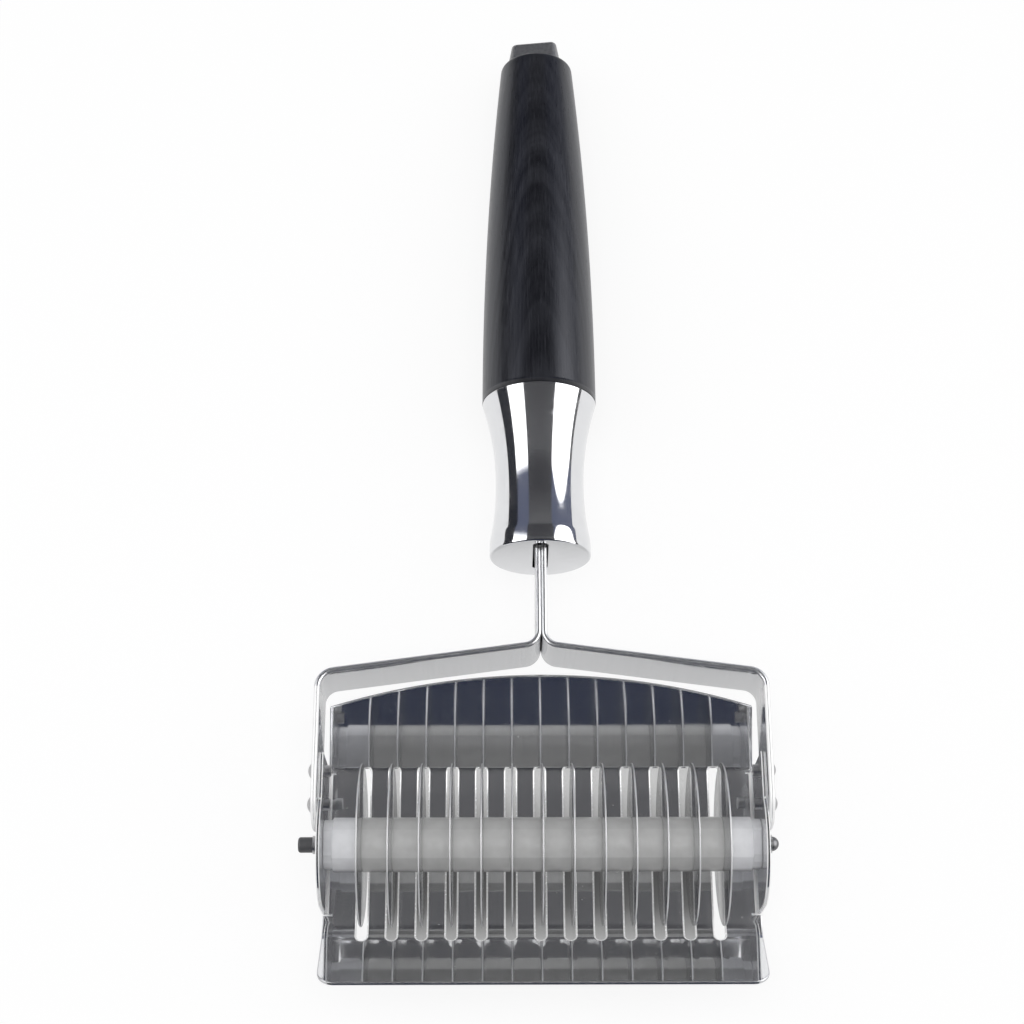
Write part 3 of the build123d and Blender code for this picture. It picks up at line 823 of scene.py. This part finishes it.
def fold_sheet(g):
    """The guard's sheet with both flaps and both ears folded up, before anything is cut from it."""
    top, under = -g.axle_height, -g.axle_height - g.sheet
    ear_outer = g.ear_inner + g.sheet
    root = g.ear_inner - 2 * g.ear_bend
    rear_half = ear_outer - g.rear_inset
    rear_tangent = g.bend_radius * math.tan(g.rear_angle / 2)
    front_tangent = g.front_radius * math.tan(g.front_angle / 2)
    rear, front = g.rear_bend - rear_tangent, front_tangent - g.front_bend
    guard = block("guard_sheet", (-root, front, under), (root, rear, top))
    shape(guard)
    ear_start, ear_end = -g.ear_radius, g.tab_foot - g.ear_relief
    for along in (ear_start - g.ear_relief, ear_start, ear_end, g.tab_foot):
        mark_across((0, along, 0), (0, 1, 0))
    ear_foot = top + g.ear_bend
    ear_top = g.ear_radius - g.ear_drop + 0.2
    lean = (g.tab_reach - g.tab_foot + g.ear_relief) * (ear_top - ear_foot) / (g.tab_rise - ear_foot)
    for side in (-1, 1):
        out = (side, 0, 0)
        pick_faces(out, lambda c: c.x * side > root - NEAR and c.y > g.tab_foot)
        extrude(side * (rear_half - root), 0, 0)
        pick_faces(out, lambda c: c.x * side > root - NEAR and c.y < ear_start - g.ear_relief)
        extrude(side * (ear_outer - root), 0, 0)
        pick_faces(out, lambda c: c.x * side > root - NEAR and ear_start < c.y < ear_end)
        extrude(side * g.ear_bend, 0, 0)
        spin((side * (g.ear_inner - g.ear_bend), 0, ear_foot), (0, -side, 0), QUARTER, 8)
        extrude(0, 0, ear_top - ear_foot)
        move_corners(lambda v: v.co.z > ear_top - NEAR and v.co.y > 0 and v.co.x * side > 0, 0, lean, 0)
    pick_faces((0, 1, 0), lambda c: c.y > rear - NEAR and c.z < top)
    spin((0, rear, top + g.bend_radius), (1, 0, 0), g.rear_angle, 12)
    reach = g.rear_length - rear_tangent + 1.0
    extrude(0, reach * math.cos(g.rear_angle), reach * math.sin(g.rear_angle))
    narrow = (rear_half - g.rear_taper * (reach + rear_tangent) / g.rear_side) / rear_half
    bpy.ops.transform.resize(value=(narrow, 1, 1), center_override=(0, 0, 0))
    pick_faces((0, -1, 0), lambda c: c.y < front + NEAR and c.z < top)
    spin((0, front, top + g.front_radius), (-1, 0, 0), g.front_angle, 14)
    reach = g.front_length - front_tangent
    extrude(0, -reach * math.cos(g.front_angle), reach * math.sin(g.front_angle))
    bpy.ops.mesh.select_all(action="SELECT")
    bpy.ops.mesh.dissolve_limited(angle_limit=math.radians(0.4))
    tip = -g.front_bend - g.front_length * math.cos(g.front_angle)
    thick = (0, math.sin(g.front_angle), math.cos(g.front_angle))
    pick_edges(thick, lambda c: abs(c.x) > ear_outer - NEAR and c.y < tip + 1.0)
    bpy.ops.mesh.bevel(offset=g.front_corner, segments=12, affect="EDGES")
    close_up()
    return guard


def cut_arch(guard, g):
    """The arched upper edge of the rear flap."""
    half = g.ear_inner + g.sheet - g.rear_inset - g.rear_taper
    rise = g.rear_length - g.rear_side
    radius = (half**2 + rise**2) / (2 * rise)
    along = Vector((0, math.cos(g.rear_angle), math.sin(g.rear_angle)))
    foot = Vector((0, g.rear_bend, -g.axle_height))
    turn = (g.rear_angle, 0.0, 0.0)
    waste = block("arch_waste", (-60, -8, -4), (60, 8, 4))
    waste.rotation_euler = turn
    waste.location = foot + along * (g.rear_side + 7.0)
    settle()
    disc = bar("arch_disc", radius, 20.0, foot + along * (g.rear_length - radius), turn, 720)
    cut(waste, disc)
    cut(guard, waste)


def cut_ears(guard, g):
    """The round front of each ear and the straight top of its rivet tab."""
    centre = -g.ear_drop
    tab_start = math.sqrt(g.ear_radius**2 - (g.tab_rise - centre) ** 2)
    for side in (-1, 1):
        near, far = sorted((side * (g.ear_inner - 1.0), side * (g.ear_inner + 3.0)))
        front = block("ear_front", (near, -g.ear_radius - 2.0, centre), (far, tab_start, g.ear_radius + 4.0))
        nose = (side * g.ear_inner, 0.0, centre)
        cut(front, bar("ear_nose", g.ear_radius, 20.0, nose, ACROSS, 160))
        cut(guard, front)
        top = block("tab_top", (near, tab_start, g.tab_rise), (far, g.tab_reach + 4.0, g.ear_radius + 4.0))
        cut(guard, top)

    def at_tab_corner(c):
        return abs(c.x) > g.ear_inner - NEAR and c.y > g.tab_reach - 0.5 and c.z > g.tab_rise - 0.05

    shape(guard)
    pick_edges((1, 0, 0), at_tab_corner)
    bpy.ops.mesh.bevel(offset=g.tab_round, segments=6, affect="EDGES")
    close_up()


def slot_places(g):
    """Middle of each blade slot across the tool, from left to right."""
    first = -g.slot_pitch * (len(BLADES) - 1) / 2 - g.slot_shift
    return [first + index * g.slot_pitch for index in range(len(BLADES))]


def slot_ends(g, spare):
    """Front and rear ends of the slots, with something to spare."""
    return -g.front_bend - g.front_overrun - spare, g.rear_bend + g.rear_overrun + spare


def cut_slots(guard, g):
    """Round-ended blade slots that run from bend to bend, with a plain margin marked off along each."""
    half, plain = g.slot_width / 2, 0.15
    margin = half + g.slot_round + plain
    places = slot_places(g)
    shape(guard)
    for place in places:
        for side in (-margin, margin):
            mark_across((place + side, 0, 0), (1, 0, 0))
    beside_ear = g.ear_inner - 2 * g.ear_bend - g.edge_round - plain
    for side in (-beside_ear, beside_ear):
        mark_across((side, 0, 0), (1, 0, 0))
    bpy.ops.object.mode_set(mode="OBJECT")
    depth = 2 * (g.front_radius + g.sheet)
    slot = bar("slots", half, depth, (0, 0, -g.axle_height), (0, 0, math.pi / ROUND_SIDES), ROUND_SIDES)
    shape(slot)
    move_corners(lambda v: v.co.y > 0, 0, g.rear_bend + g.rear_overrun - half, 0)
    move_corners(lambda v: v.co.y < 0, 0, half - g.front_bend - g.front_overrun, 0)
    move_corners(lambda v: True, places[0], 0, 0)
    bpy.ops.object.mode_set(mode="OBJECT")
    row = slot.modifiers.new("row", "ARRAY")
    row.count = len(BLADES)
    row.use_relative_offset = False
    row.use_constant_offset = True
    row.constant_offset_displace = (g.slot_pitch, 0, 0)
    bpy.ops.object.modifier_apply(modifier=row.name)
    cut(guard, slot)


def paint(piece, index, test):
    """Gives the faces that pass a test another of the piece's materials."""
    shape(piece)
    pick("FACE", test)
    piece.active_material_index = index
    bpy.ops.object.material_slot_assign()
    bpy.ops.object.mode_set(mode="OBJECT")


def guard_rounding(g):
    """Share of the rounding that an edge of the guard gets: all of it along the slots, less elsewhere, and
    none where the rear fold starts."""
    root, fold_top = g.ear_inner - 2 * g.ear_bend, 1.5 - g.axle_height
    slot_low, slot_high = slot_ends(g, 0.1)

    def at_fold(c):
        return abs(c.x) > root - 0.02 and g.tab_foot - 0.02 < c.y < g.rear_bend + 1.2 and c.z < fold_top

    def at_slot(c):
        return abs(c.x) < root - 1.0 and slot_low < c.y < slot_high

    def share(edge):
        ends = [v.co for v in edge.verts]
        if all(at_fold(c) for c in ends):
            return 0.0
        return 1.0 if all(at_slot(c) for c in ends) else g.edge_round / g.slot_round

    return share


def brighten_edges(guard, g):
    """Gives the rounded edges of the slots and of the ears, and the ears' bends, painted highlights: a white glow
    on the slots and near-white on the ears and bends.
    """
    reach = g.slot_width / 2 + g.slot_round + 0.05
    places = slot_places(g)
    low, high = slot_ends(g, 1.0)

    def on_slot(face):
        c = face.calc_center_median()
        beside = min(abs(c.x - place) for place in places) < reach
        return face.material_index == RIM and beside and low < c.y < high

    def on_ear(face):
        c = face.calc_center_median()
        beside = abs(c.x) > g.ear_inner - 0.1 and c.z > 0.5 - g.axle_height
        return face.material_index == RIM and beside and -g.ear_radius - 0.1 < c.y < g.tab_reach + 0.1

    def on_bend(face):
        c = face.calc_center_median()
        beside = abs(c.x) > g.ear_inner - g.ear_bend - 0.02 and c.z < g.ear_bend - g.axle_height
        along = -g.ear_radius - NEAR < c.y < g.tab_foot - g.ear_relief + NEAR
        return beside and along and abs(face.normal.x) > 0.05

    paint(guard, HIGHLIGHT_RIM, lambda face: on_ear(face) or on_bend(face))
    paint(guard, GLOWING_SLOT_RIM, on_slot)


class GuardPiece(bpy.types.Operator):
    """Fold the slotted guard from one sheet, with its flaps and ears"""

    bl_idname = "roller_cutter.guard"
    bl_label = "Slotted Guard"

    def execute(self, context):
        g, fork, handle = tool_sizes(context)
        guard = fold_sheet(g)
        cut_arch(guard, g)
        cut_ears(guard, g)
        cut_slots(guard, g)
        drill(guard, fork, True)
        dress(guard, *finishes(context, "sheet", "rim", "bright_rim", "slot_rim"))
        soften(guard, g.slot_round, 4, rim=RIM, share=guard_rounding(g))
        brighten_edges(guard, g)
        lay_down(guard, resting_tilt(handle, fork))
        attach(guard, "frame")
        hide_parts("guard_plate")
        return {"FINISHED"}


class ForkPieces(bpy.types.Operator):
    """Bend one strip of the fork and mirror it for the other side"""

    bl_idname = "roller_cutter.fork"
    bl_label = "Fork Strips"

    def execute(self, context):
        g, f, handle = tool_sizes(context)
        ear_outer = g.ear_inner + g.sheet
        turn = QUARTER - f.shoulder_fall
        outer_bend = f.stem_bend + f.strip
        stem_tangent = outer_bend * math.tan(turn / 2)
        arm_tangent = f.arm_bend * math.tan(turn / 2)
        stem_foot = f.shoulder_height + stem_tangent
        strip = block(
            "strip_right",
            (0, stem_foot, f.rise - f.width / 2),
            (f.strip, handle.ferrule_start + f.insert, f.rise + f.width / 2),
        )
        shape(strip)
        pick_faces((0, -1, 0), lambda c: True)
        spin((outer_bend, stem_foot, 0), (0, 0, 1), turn, 14)
        run = ear_outer / math.cos(f.shoulder_fall) - stem_tangent - arm_tangent
        extrude(run * math.cos(f.shoulder_fall), -run * math.sin(f.shoulder_fall), 0)
        elbow = f.shoulder_height - ear_outer * math.tan(f.shoulder_fall) - arm_tangent
        spin((ear_outer - f.arm_bend, elbow, 0), (0, 0, -1), turn, 14)
        extrude(0, f.arm_end - elbow, 0)
        pick_edges((1, 0, 0), lambda c: c.y < f.arm_end + NEAR)
        bpy.ops.mesh.bevel(offset=0.49 * f.width, segments=20, affect="EDGES")
        close_up()
        drill(strip, f, False)
        dress(strip, *finishes(context, "sheet", "rim", "bright_rim"))
        soften(strip, f.edge_round, 5, rim=RIM)

        def on_arm(face):
            return face.material_index == RIM and face.calc_center_median().y < elbow

        # The arms' rounded edges get the near-white painted highlight.
        paint(strip, HIGHLIGHT_RIM, on_arm)
        other = copy_of(strip, "strip_left")
        other.scale = (-1, 1, 1)
        settle()
        shape(other)
        bpy.ops.mesh.select_all(action="SELECT")
        bpy.ops.mesh.normals_make_consistent(inside=False)
        bpy.ops.object.mode_set(mode="OBJECT")
        for piece, node in ((strip, "fork_strip_right"), (other, "fork_strip_left")):
            lay_down(piece, resting_tilt(handle, f))
            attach(piece, "frame")
            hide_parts(node)
        return {"FINISHED"}


class FerrulePiece(bpy.types.Operator):
    """Turn the plated ferrule and slot its lower face for the stem"""

    bl_idname = "roller_cutter.ferrule"
    bl_label = "Ferrule"

    def execute(self, context):
        _, f, h = tool_sizes(context)
        start, end = h.ferrule_start, h.ferrule_start + h.ferrule_length
        neck = start + h.lip
        centre, sweep = arc_through(
            (h.lip_radius, neck), (h.waist_radius, start + h.waist_at), (h.grip_radius, end)
        )
        ferrule = outline("turned_ferrule", start, 0.0, f.rise)
        extrude(h.lip_radius - h.lip_round, 0, 0)
        spin((h.lip_radius - h.lip_round, start + h.lip_round, f.rise), (0, 0, 1), QUARTER, 6)
        extrude(0, h.lip - h.lip_round, 0)
        spin((centre[0], centre[1], f.rise), (0, 0, 1), sweep, 48)
        extrude(-h.grip_radius, 0, 0)
        round_corner((h.lip_radius, neck, f.rise), h.neck_blend, 10)
        turn_section((0, 0, f.rise), (0, 1, 0), 192)
        half = h.mouth_width / 2
        depth = 2 * h.mouth_depth
        middle = f.rise + h.mouth_lift
        upright = (QUARTER, math.pi / ROUND_SIDES, 0)
        mouth = bar("mouth", half, depth, (0, start, middle), upright, ROUND_SIDES)
        shape(mouth)
        move_corners(lambda v: v.co.z > middle, 0, 0, h.mouth_length / 2 - half)
        move_corners(lambda v: v.co.z < middle, 0, 0, half - h.mouth_length / 2)
        bpy.ops.object.mode_set(mode="OBJECT")
        cut(ferrule, mouth)
        soften(ferrule, 0.12)
        dress(ferrule, *finishes(context, "chrome", "bore"))
        reach = h.mouth_length / 2 + 0.05

        def in_mouth(face):
            c = face.calc_center_median()
            deep = start + 0.2 < c.y < start + h.mouth_depth + 0.1
            return deep and abs(c.x) < half + 0.05 and abs(c.z - middle) < reach

        # The faces inside the mouth get the near-black steel: painted shade in the recess.
        paint(ferrule, 1, in_mouth)
        lay_down(ferrule, resting_tilt(h, f))
        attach(ferrule, "frame")
        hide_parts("ferrule")
        return {"FINISHED"}


class GripPiece(bpy.types.Operator):
    """Turn the wooden grip with one long sweep"""

    bl_idname = "roller_cutter.grip"
    bl_label = "Wooden Grip"

    def execute(self, context):
        _, f, h = tool_sizes(context)
        start = h.ferrule_start + h.ferrule_length
        fall = h.grip_radius - h.tail_radius
        sweep = (h.grip_length**2 + fall**2) / (2 * fall)
        grip = outline("turned_grip", start, 0.0, f.rise)
        extrude(h.grip_radius, 0, 0)
        spin((h.grip_radius - sweep, start, f.rise), (0, 0, 1), math.asin(h.grip_length / sweep), 64)
        extrude(-h.tail_radius, 0, 0)
        round_corner((h.tail_radius, start + h.grip_length, f.rise), h.tail_round, 6)
        round_corner((h.grip_radius, start, f.rise), 0.12, 2)
        turn_section((0, 0, f.rise), (0, 1, 0), 160)
        soften(grip, 0.1)
        lay_down(grip, resting_tilt(h, f))
        dress(grip, *finishes(context, "wood"))
        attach(grip, "frame")
        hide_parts("wooden_handle")
        return {"FINISHED"}


class BladePieces(bpy.types.Operator):
    """Turn one disc blade with a rounded rim and copy it to every place on the roller"""

    bl_idname = "roller_cutter.blades"
    bl_label = "Blades"

    def execute(self, context):
        g, f, h = tool_sizes(context)
        b = millimetres(context.scene.blade_sizes)
        half, radius, bend = b.thickness / 2, b.diameter / 2, b.rim_round
        disc = outline("disc_blade", b.bore / 2, -half, 0.0)
        extrude(0, radius - bend - b.bore / 2, 0)
        spin((bend - half, radius - bend, 0), (0, 0, -1), QUARTER, 4)
        extrude(2 * (half - bend), 0, 0)
        spin((half - bend, radius - bend, 0), (0, 0, -1), QUARTER, 4)
        extrude(0, b.bore / 2 - radius + bend, 0)
        extrude(-b.thickness, 0, 0)
        turn_section((0, 0, 0), (1, 0, 0), 168)
        soften(disc, 0.02, 1)
        dress(disc, *finishes(context, "blade", "blade_edge"))
        paint(disc, 1, lambda face: face.calc_center_median().yz.length > radius - 0.3 * bend)
        lay_down(disc, resting_tilt(h, f))
        for index, name in enumerate(BLADES):
            copy = copy_of(disc, name.replace("blade", "disc_blade"))
            copy.location.x = 0.001 * g.slot_pitch * (index - (len(BLADES) - 1) / 2)
            settle()
            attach(copy, "roller")
            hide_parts(name)
        discard(disc)
        return {"FINISHED"}


class SpacerFinish(bpy.types.Operator):
    """Give the spacers their milky plastic"""

    bl_idname = "roller_cutter.spacers"
    bl_label = "Spacers"

    def execute(self, context):
        for name in SPACERS:
            dress(NODES[name], *finishes(context, "end_plastic" if name.startswith("end") else "plastic"))
        return {"FINISHED"}


class FastenerFinish(bpy.types.Operator):
    """Give the rivets, the axle and the caps their finishes"""

    bl_idname = "roller_cutter.fasteners"
    bl_label = "Rivets, Axle and Caps"

    def execute(self, context):
        groups = {
            "rivet": ("rivets_left", "rivets_right", "axle_washer_left", "axle_washer_right"),
            "axle": ("axle_pin", "tie_rod"),
            "black": ("axle_cap",),
            "cap": ("end_cap",),
        }
        for key, names in groups.items():
            for name in names:
                dress(NODES[name], *finishes(context, key))
        return {"FINISHED"}


# Light tent, in degrees from straight above: where its panels start and end to the sides, where they end
# before and behind, the bowed far end of the right one, and the room's tones from before the tool to behind it
PANEL_LIGHT = 2.7
PANEL_START = (29.5, 32.5)
RIGHT_END = (81.5, 84.0)
LEFT_END = (63.0, 66.0)
LEFT_FAR_END = (22.0, 27.0)
PANEL_NEAR_END = (-36.0, -26.0)
BOW_MIDDLE, BOW_REACH, BOW_FALL = 55.0, 35.0, 0.02
FAR_ROOM_SIDE = (29.0, 33.0)
FAR_ROOM_START = (18.0, 24.0)
DARK_LEFT = (58.0, 66.0)
ROOM_TONES = (
    (-90, (0.022, 0.027, 0.048)), (-58, (0.025, 0.031, 0.055)), (-40, (0.035, 0.036, 0.042)),
    (0, (0.085, 0.085, 0.09)), (12, (0.114, 0.114, 0.12)), (18, (0.114, 0.114, 0.12)),
    (24, (0.066, 0.066, 0.072)), (32, (0.06, 0.06, 0.066)), (48, (0.15, 0.15, 0.155)),
    (66, (0.26, 0.26, 0.265)),
)


def soft_edge(finish, value, low, high):
    return finish.span(value, low, high, 0.0, 1.0, smooth=True)


def soft_end(finish, value, low, high):
    return finish.span(value, low, high, 1.0, 0.0, smooth=True)


def tent_finish():
    """Light tent for the metal to reflect: a white panel on each side, a dark gap over the tool between them,
    and the dim room before and behind."""
    tent = Finish("light_tent")
    tree = tent.tree
    straight = tent.node("ShaderNodeVectorMath", operation="NORMALIZE")
    tent.join(tent.node("ShaderNodeTexCoord").outputs["Object"], straight.inputs[0])
    parts = tent.parts(straight.outputs["Vector"])
    side = tent.degrees("ARCTAN2", parts["X"], parts["Z"])
    back = tent.degrees("ARCSINE", parts["Y"])
    left = tent.sum("MULTIPLY", side, -1.0)
    bow = tent.sum("SUBTRACT", side, BOW_MIDDLE)
    far_end = tent.sum("SUBTRACT", BOW_REACH, tent.product(bow, bow, BOW_FALL))
    right_reach = soft_edge(tent, tent.sum("SUBTRACT", far_end, back), -2.0, 2.0)
    right_panel = tent.product(
        soft_edge(tent, side, *PANEL_START), right_reach, soft_end(tent, side, *RIGHT_END)
    )
    left_reach = soft_end(tent, back, *LEFT_FAR_END)
    left_panel = tent.product(
        soft_edge(tent, left, *PANEL_START), soft_end(tent, left, *LEFT_END), left_reach
    )
    panels = tent.sum("MAXIMUM", right_panel, left_panel)
    panels = tent.product(panels, soft_edge(tent, back, *PANEL_NEAR_END))
    off_side = soft_edge(tent, tent.sum("ABSOLUTE", side, 0.0), *FAR_ROOM_SIDE)
    beyond = tent.product(off_side, soft_edge(tent, back, *FAR_ROOM_START))
    room = tent.mix(beyond, tent.ramp(back, -90, 90, ROOM_TONES), (0.12, 0.135, 0.2))
    room = tent.mix(soft_edge(tent, left, *DARK_LEFT), room, (0.018, 0.019, 0.026))
    glow = tent.node("ShaderNodeEmission")
    tent.join(tent.mix(panels, room, WHITE), glow.inputs["Color"])
    tent.join(tent.span(panels, 0.0, 1.0, 1.0, PANEL_LIGHT), glow.inputs["Strength"])
    tent.join(glow.outputs["Emission"], tree.nodes["Material Output"].inputs["Surface"])
    tree.nodes.remove(tent.shader)
    tent.material.cycles.emission_sampling = "NONE"
    return tent.material


# Painted shade on the table, in metres from the axle: the dark run before the roller under the slotted plate,
# where it turns light behind it, how far the shaded patch stands in from the ears, where it ends, where the
# table seen in the metal turns from its painted dim level to bright, and how far the painted shadow reaches
BEFORE_ROLLER = (-0.02, -0.012)
BEHIND_ROLLER = (-0.004, 0.004)
PATCH_INSET = (0.0135, 0.0105)
PATCH_END = (0.021, 0.0235)
MIRROR_SHADE_END = (0.05, 0.07)
SHADOW_REACH = 0.014


def beside_slots(finish, parts):
    """Mask of the painted shade: one on the open table, nought on the patch that the slotted plate covers."""
    low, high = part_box("guard_plate")
    half = (high[0] - low[0]) / 2
    sideways = finish.sum("ABSOLUTE", finish.sum("SUBTRACT", parts["X"], AXLE.x), 0.0)
    along = finish.sum("ABSOLUTE", finish.sum("SUBTRACT", parts["Y"], AXLE.y), 0.0)
    past_ears = finish.span(sideways, half - PATCH_INSET[0], half - PATCH_INSET[1], 0.0, 1.0)
    return finish.sum("MAXIMUM", past_ears, finish.span(along, *PATCH_END, 0.0, 1.0))


def floor_finish(tone):
    """White table to the camera and in the metal. It keeps a faint shadow round the tool; painted shade darkens it
    under the slotted plate, more before the roller than behind it, and dims it in the metal near the roller."""
    finish = Finish("white_table")
    where = finish.node("ShaderNodeTexCoord").outputs["Object"]
    parts = finish.parts(where)
    finish.feed(Base_Color=finish.mix(finish.noise(where, 900.0, 2.0), shaded(tone, 0.99), tone))
    finish.set(Roughness=0.9, Specular_IOR_Level=0.0)
    path = finish.node("ShaderNodeLightPath").outputs
    in_metal = finish.sum("MAXIMUM", path["Is Glossy Ray"], path["Is Transmission Ray"])
    seen = finish.sum("MAXIMUM", path["Is Camera Ray"], in_metal)
    # Painted shade: the table's glow falls where little is open above it under the plate, more before the roller.
    open_above = finish.node("ShaderNodeAmbientOcclusion", samples=8)
    open_above.inputs["Distance"].default_value = SHADOW_REACH
    along = finish.sum("SUBTRACT", parts["Y"], AXLE.y)
    before_roller = finish.span(along, *BEFORE_ROLLER, 0.9, 0.36)
    under_plate = finish.sum("ADD", before_roller, finish.span(along, *BEHIND_ROLLER, 0.0, 1.5))
    shade = finish.product(finish.span(open_above.outputs["AO"], 0.3, 0.95, 0.18, 0.74), under_plate)
    shade = finish.sum("MAXIMUM", finish.sum("MINIMUM", shade, 0.9), beside_slots(finish, parts))
    # Painted shade in the metal: the table is dimmer near the roller than toward the handle.
    painted_mirror_level = finish.span(along, *MIRROR_SHADE_END, 0.6, 0.98)
    mirrored = finish.product(finish.span(shade, 0.1, 1.0, 0.15, 1.0), painted_mirror_level, in_metal)
    direct = finish.product(finish.sum("SUBTRACT", 1.0, in_metal), shade)
    glow = finish.node("ShaderNodeEmission")
    glow.inputs["Color"].default_value = (*WHITE, 1.0)
    finish.join(finish.sum("MAXIMUM", mirrored, direct), glow.inputs["Strength"])
    blend = finish.node("ShaderNodeMixShader")
    finish.join(finish.sum("MULTIPLY", seen, 0.85), blend.inputs["Fac"])
    finish.join(finish.shader.outputs["BSDF"], blend.inputs[1])
    finish.join(glow.outputs["Emission"], blend.inputs[2])
    finish.join(blend.outputs["Shader"], finish.tree.nodes["Material Output"].inputs["Surface"])
    finish.material.cycles.emission_sampling = "NONE"
    return finish.material


def set_world(scene, fill):
    """White to the camera, to metal and to glass, and an even fill for the light on the tool."""
    world = bpy.data.worlds.new("studio")
    scene.world = world
    world.use_nodes = True
    tree = world.node_tree
    glow = tree.nodes["Background"]
    path = tree.nodes.new("ShaderNodeLightPath")
    seen = path.outputs["Is Camera Ray"]
    for kind in ("Is Glossy Ray", "Is Transmission Ray"):
        either = tree.nodes.new("ShaderNodeMath")
        either.operation = "MAXIMUM"
        tree.links.new(seen, either.inputs[0])
        tree.links.new(path.outputs[kind], either.inputs[1])
        seen = either.outputs["Value"]
    level = tree.nodes.new("ShaderNodeMapRange")
    level.inputs["To Min"].default_value = fill
    level.inputs["To Max"].default_value = 1.0
    tree.links.new(seen, level.inputs["Value"])
    tree.links.new(level.outputs["Result"], glow.inputs["Strength"])
    glow.inputs["Color"].default_value = (*WHITE, 1.0)


# Sizes and places on the stage, in metres, and the camera's sensor in millimetres
TABLE_RADIUS = 1.6
TABLE_DROP = 0.0001
TENT_RADIUS = 1.5
LAMP_SIZE = 0.8
LEFT_LAMP = (-0.75, 0.05, 0.75)
RIGHT_LAMP = (0.75, 0.05, 0.75)
TOP_LAMP = (0.0, -0.08, 1.12)
NEAREST_SEEN = 0.01
SENSOR_WIDTH = 36.0


def set_table(tone):
    bpy.ops.object.select_all(action="DESELECT")
    bpy.ops.mesh.primitive_circle_add(
        vertices=96, radius=TABLE_RADIUS, fill_type="NGON", location=(0, 0, -TABLE_DROP)
    )
    floor = settled("table")
    dress(floor, floor_finish(tone))
    return floor


def set_tent():
    """The light tent, which only metal sees."""
    bpy.ops.object.select_all(action="DESELECT")
    bpy.ops.mesh.primitive_uv_sphere_add(segments=96, ring_count=48, radius=TENT_RADIUS, location=(0, 0, 0))
    tent = settled("light_tent")
    bpy.ops.object.shade_smooth()
    dress(tent, tent_finish())
    for kind in ("camera", "diffuse", "transmission", "volume_scatter", "shadow"):
        setattr(tent, f"visible_{kind}", False)
    return tent


def set_lamp(name, place, power):
    """A square lamp aimed at the middle of the tool, which neither the camera nor metal sees."""
    bpy.ops.object.select_all(action="DESELECT")
    aim = (-Vector(place)).to_track_quat("-Z", "Y").to_euler()
    bpy.ops.object.light_add(type="AREA", location=place, rotation=aim)
    lamp = bpy.context.object
    lamp.name = name
    lamp.data.shape = "SQUARE"
    lamp.data.size = LAMP_SIZE
    lamp.data.energy = power
    lamp.visible_glossy = False
    lamp.visible_camera = False


def set_camera(scene, settings):
    eye = Vector(settings.eye)
    back = -Vector(settings.look).normalized()
    up = back.cross(Vector(settings.right)).normalized()
    right = up.cross(back)
    bpy.ops.object.select_all(action="DESELECT")
    bpy.ops.object.camera_add(location=eye)
    camera = bpy.context.object
    camera.name = "camera"
    camera.matrix_world = Matrix((
        (right.x, up.x, back.x, eye.x),
        (right.y, up.y, back.y, eye.y),
        (right.z, up.z, back.z, eye.z),
        (0.0, 0.0, 0.0, 1.0),
    ))
    camera.data.sensor_width = SENSOR_WIDTH
    camera.data.lens = settings.lens
    camera.data.clip_start = NEAREST_SEEN
    scene.camera = camera


class StageSet(bpy.types.Operator):
    """Set the table, the light tent, the lamps and the camera"""

    bl_idname = "roller_cutter.stage"
    bl_label = "Studio Stage"

    def execute(self, context):
        scene = context.scene
        settings = scene.stage_settings
        scene.view_settings.view_transform = "Standard"
        floor = set_table(tuple(settings.floor))
        tent = set_tent()
        set_lamp("lamp_left", LEFT_LAMP, settings.lamp)
        set_lamp("lamp_right", RIGHT_LAMP, settings.lamp)
        set_lamp("lamp_top", TOP_LAMP, settings.top_lamp)
        set_world(scene, settings.fill)
        set_camera(scene, settings)
        return {"FINISHED"}


PIECES = (
    GuardPiece, ForkPieces, FerrulePiece, GripPiece, BladePieces, SpacerFinish, FastenerFinish, StageSet,
)
GROUPS = {
    "guard_sizes": GuardSizes,
    "blade_sizes": BladeSizes,
    "fork_sizes": ForkSizes,
    "handle_sizes": HandleSizes,
    "finish_colours": FinishColours,
    "stage_settings": StageSettings,
}


class RollerCutterPanel(bpy.types.Panel):
    """Lists the pieces of the roller cutter and the settings that shape them"""

    bl_idname = "VIEW3D_PT_roller_cutter"
    bl_label = "Roller Cutter"
    bl_space_type = "VIEW_3D"
    bl_region_type = "UI"
    bl_category = "Roller Cutter"

    def draw(self, context):
        for piece in PIECES:
            self.layout.operator(piece.bl_idname)
        for name in GROUPS:
            box = self.layout.box()
            group = getattr(context.scene, name)
            for key in group.bl_rna.properties.keys():
                if key not in ("rna_type", "name"):
                    box.prop(group, key)


def register():
    for name, group in GROUPS.items():
        bpy.utils.register_class(group)
        setattr(bpy.types.Scene, name, bpy.props.PointerProperty(type=group))
    for piece in PIECES:
        bpy.utils.register_class(piece)
    bpy.utils.register_class(RollerCutterPanel)


def unregister():
    bpy.utils.unregister_class(RollerCutterPanel)
    for piece in reversed(PIECES):
        bpy.utils.unregister_class(piece)
    for name, group in GROUPS.items():
        delattr(bpy.types.Scene, name)
        bpy.utils.unregister_class(group)


def main():
    register()
    bpy.ops.roller_cutter.guard()
    bpy.ops.roller_cutter.fork()
    bpy.ops.roller_cutter.ferrule()
    bpy.ops.roller_cutter.grip()
    bpy.ops.roller_cutter.blades()
    bpy.ops.roller_cutter.spacers()
    bpy.ops.roller_cutter.fasteners()
    bpy.ops.roller_cutter.stage()


if __name__ == "__main__":
    main()
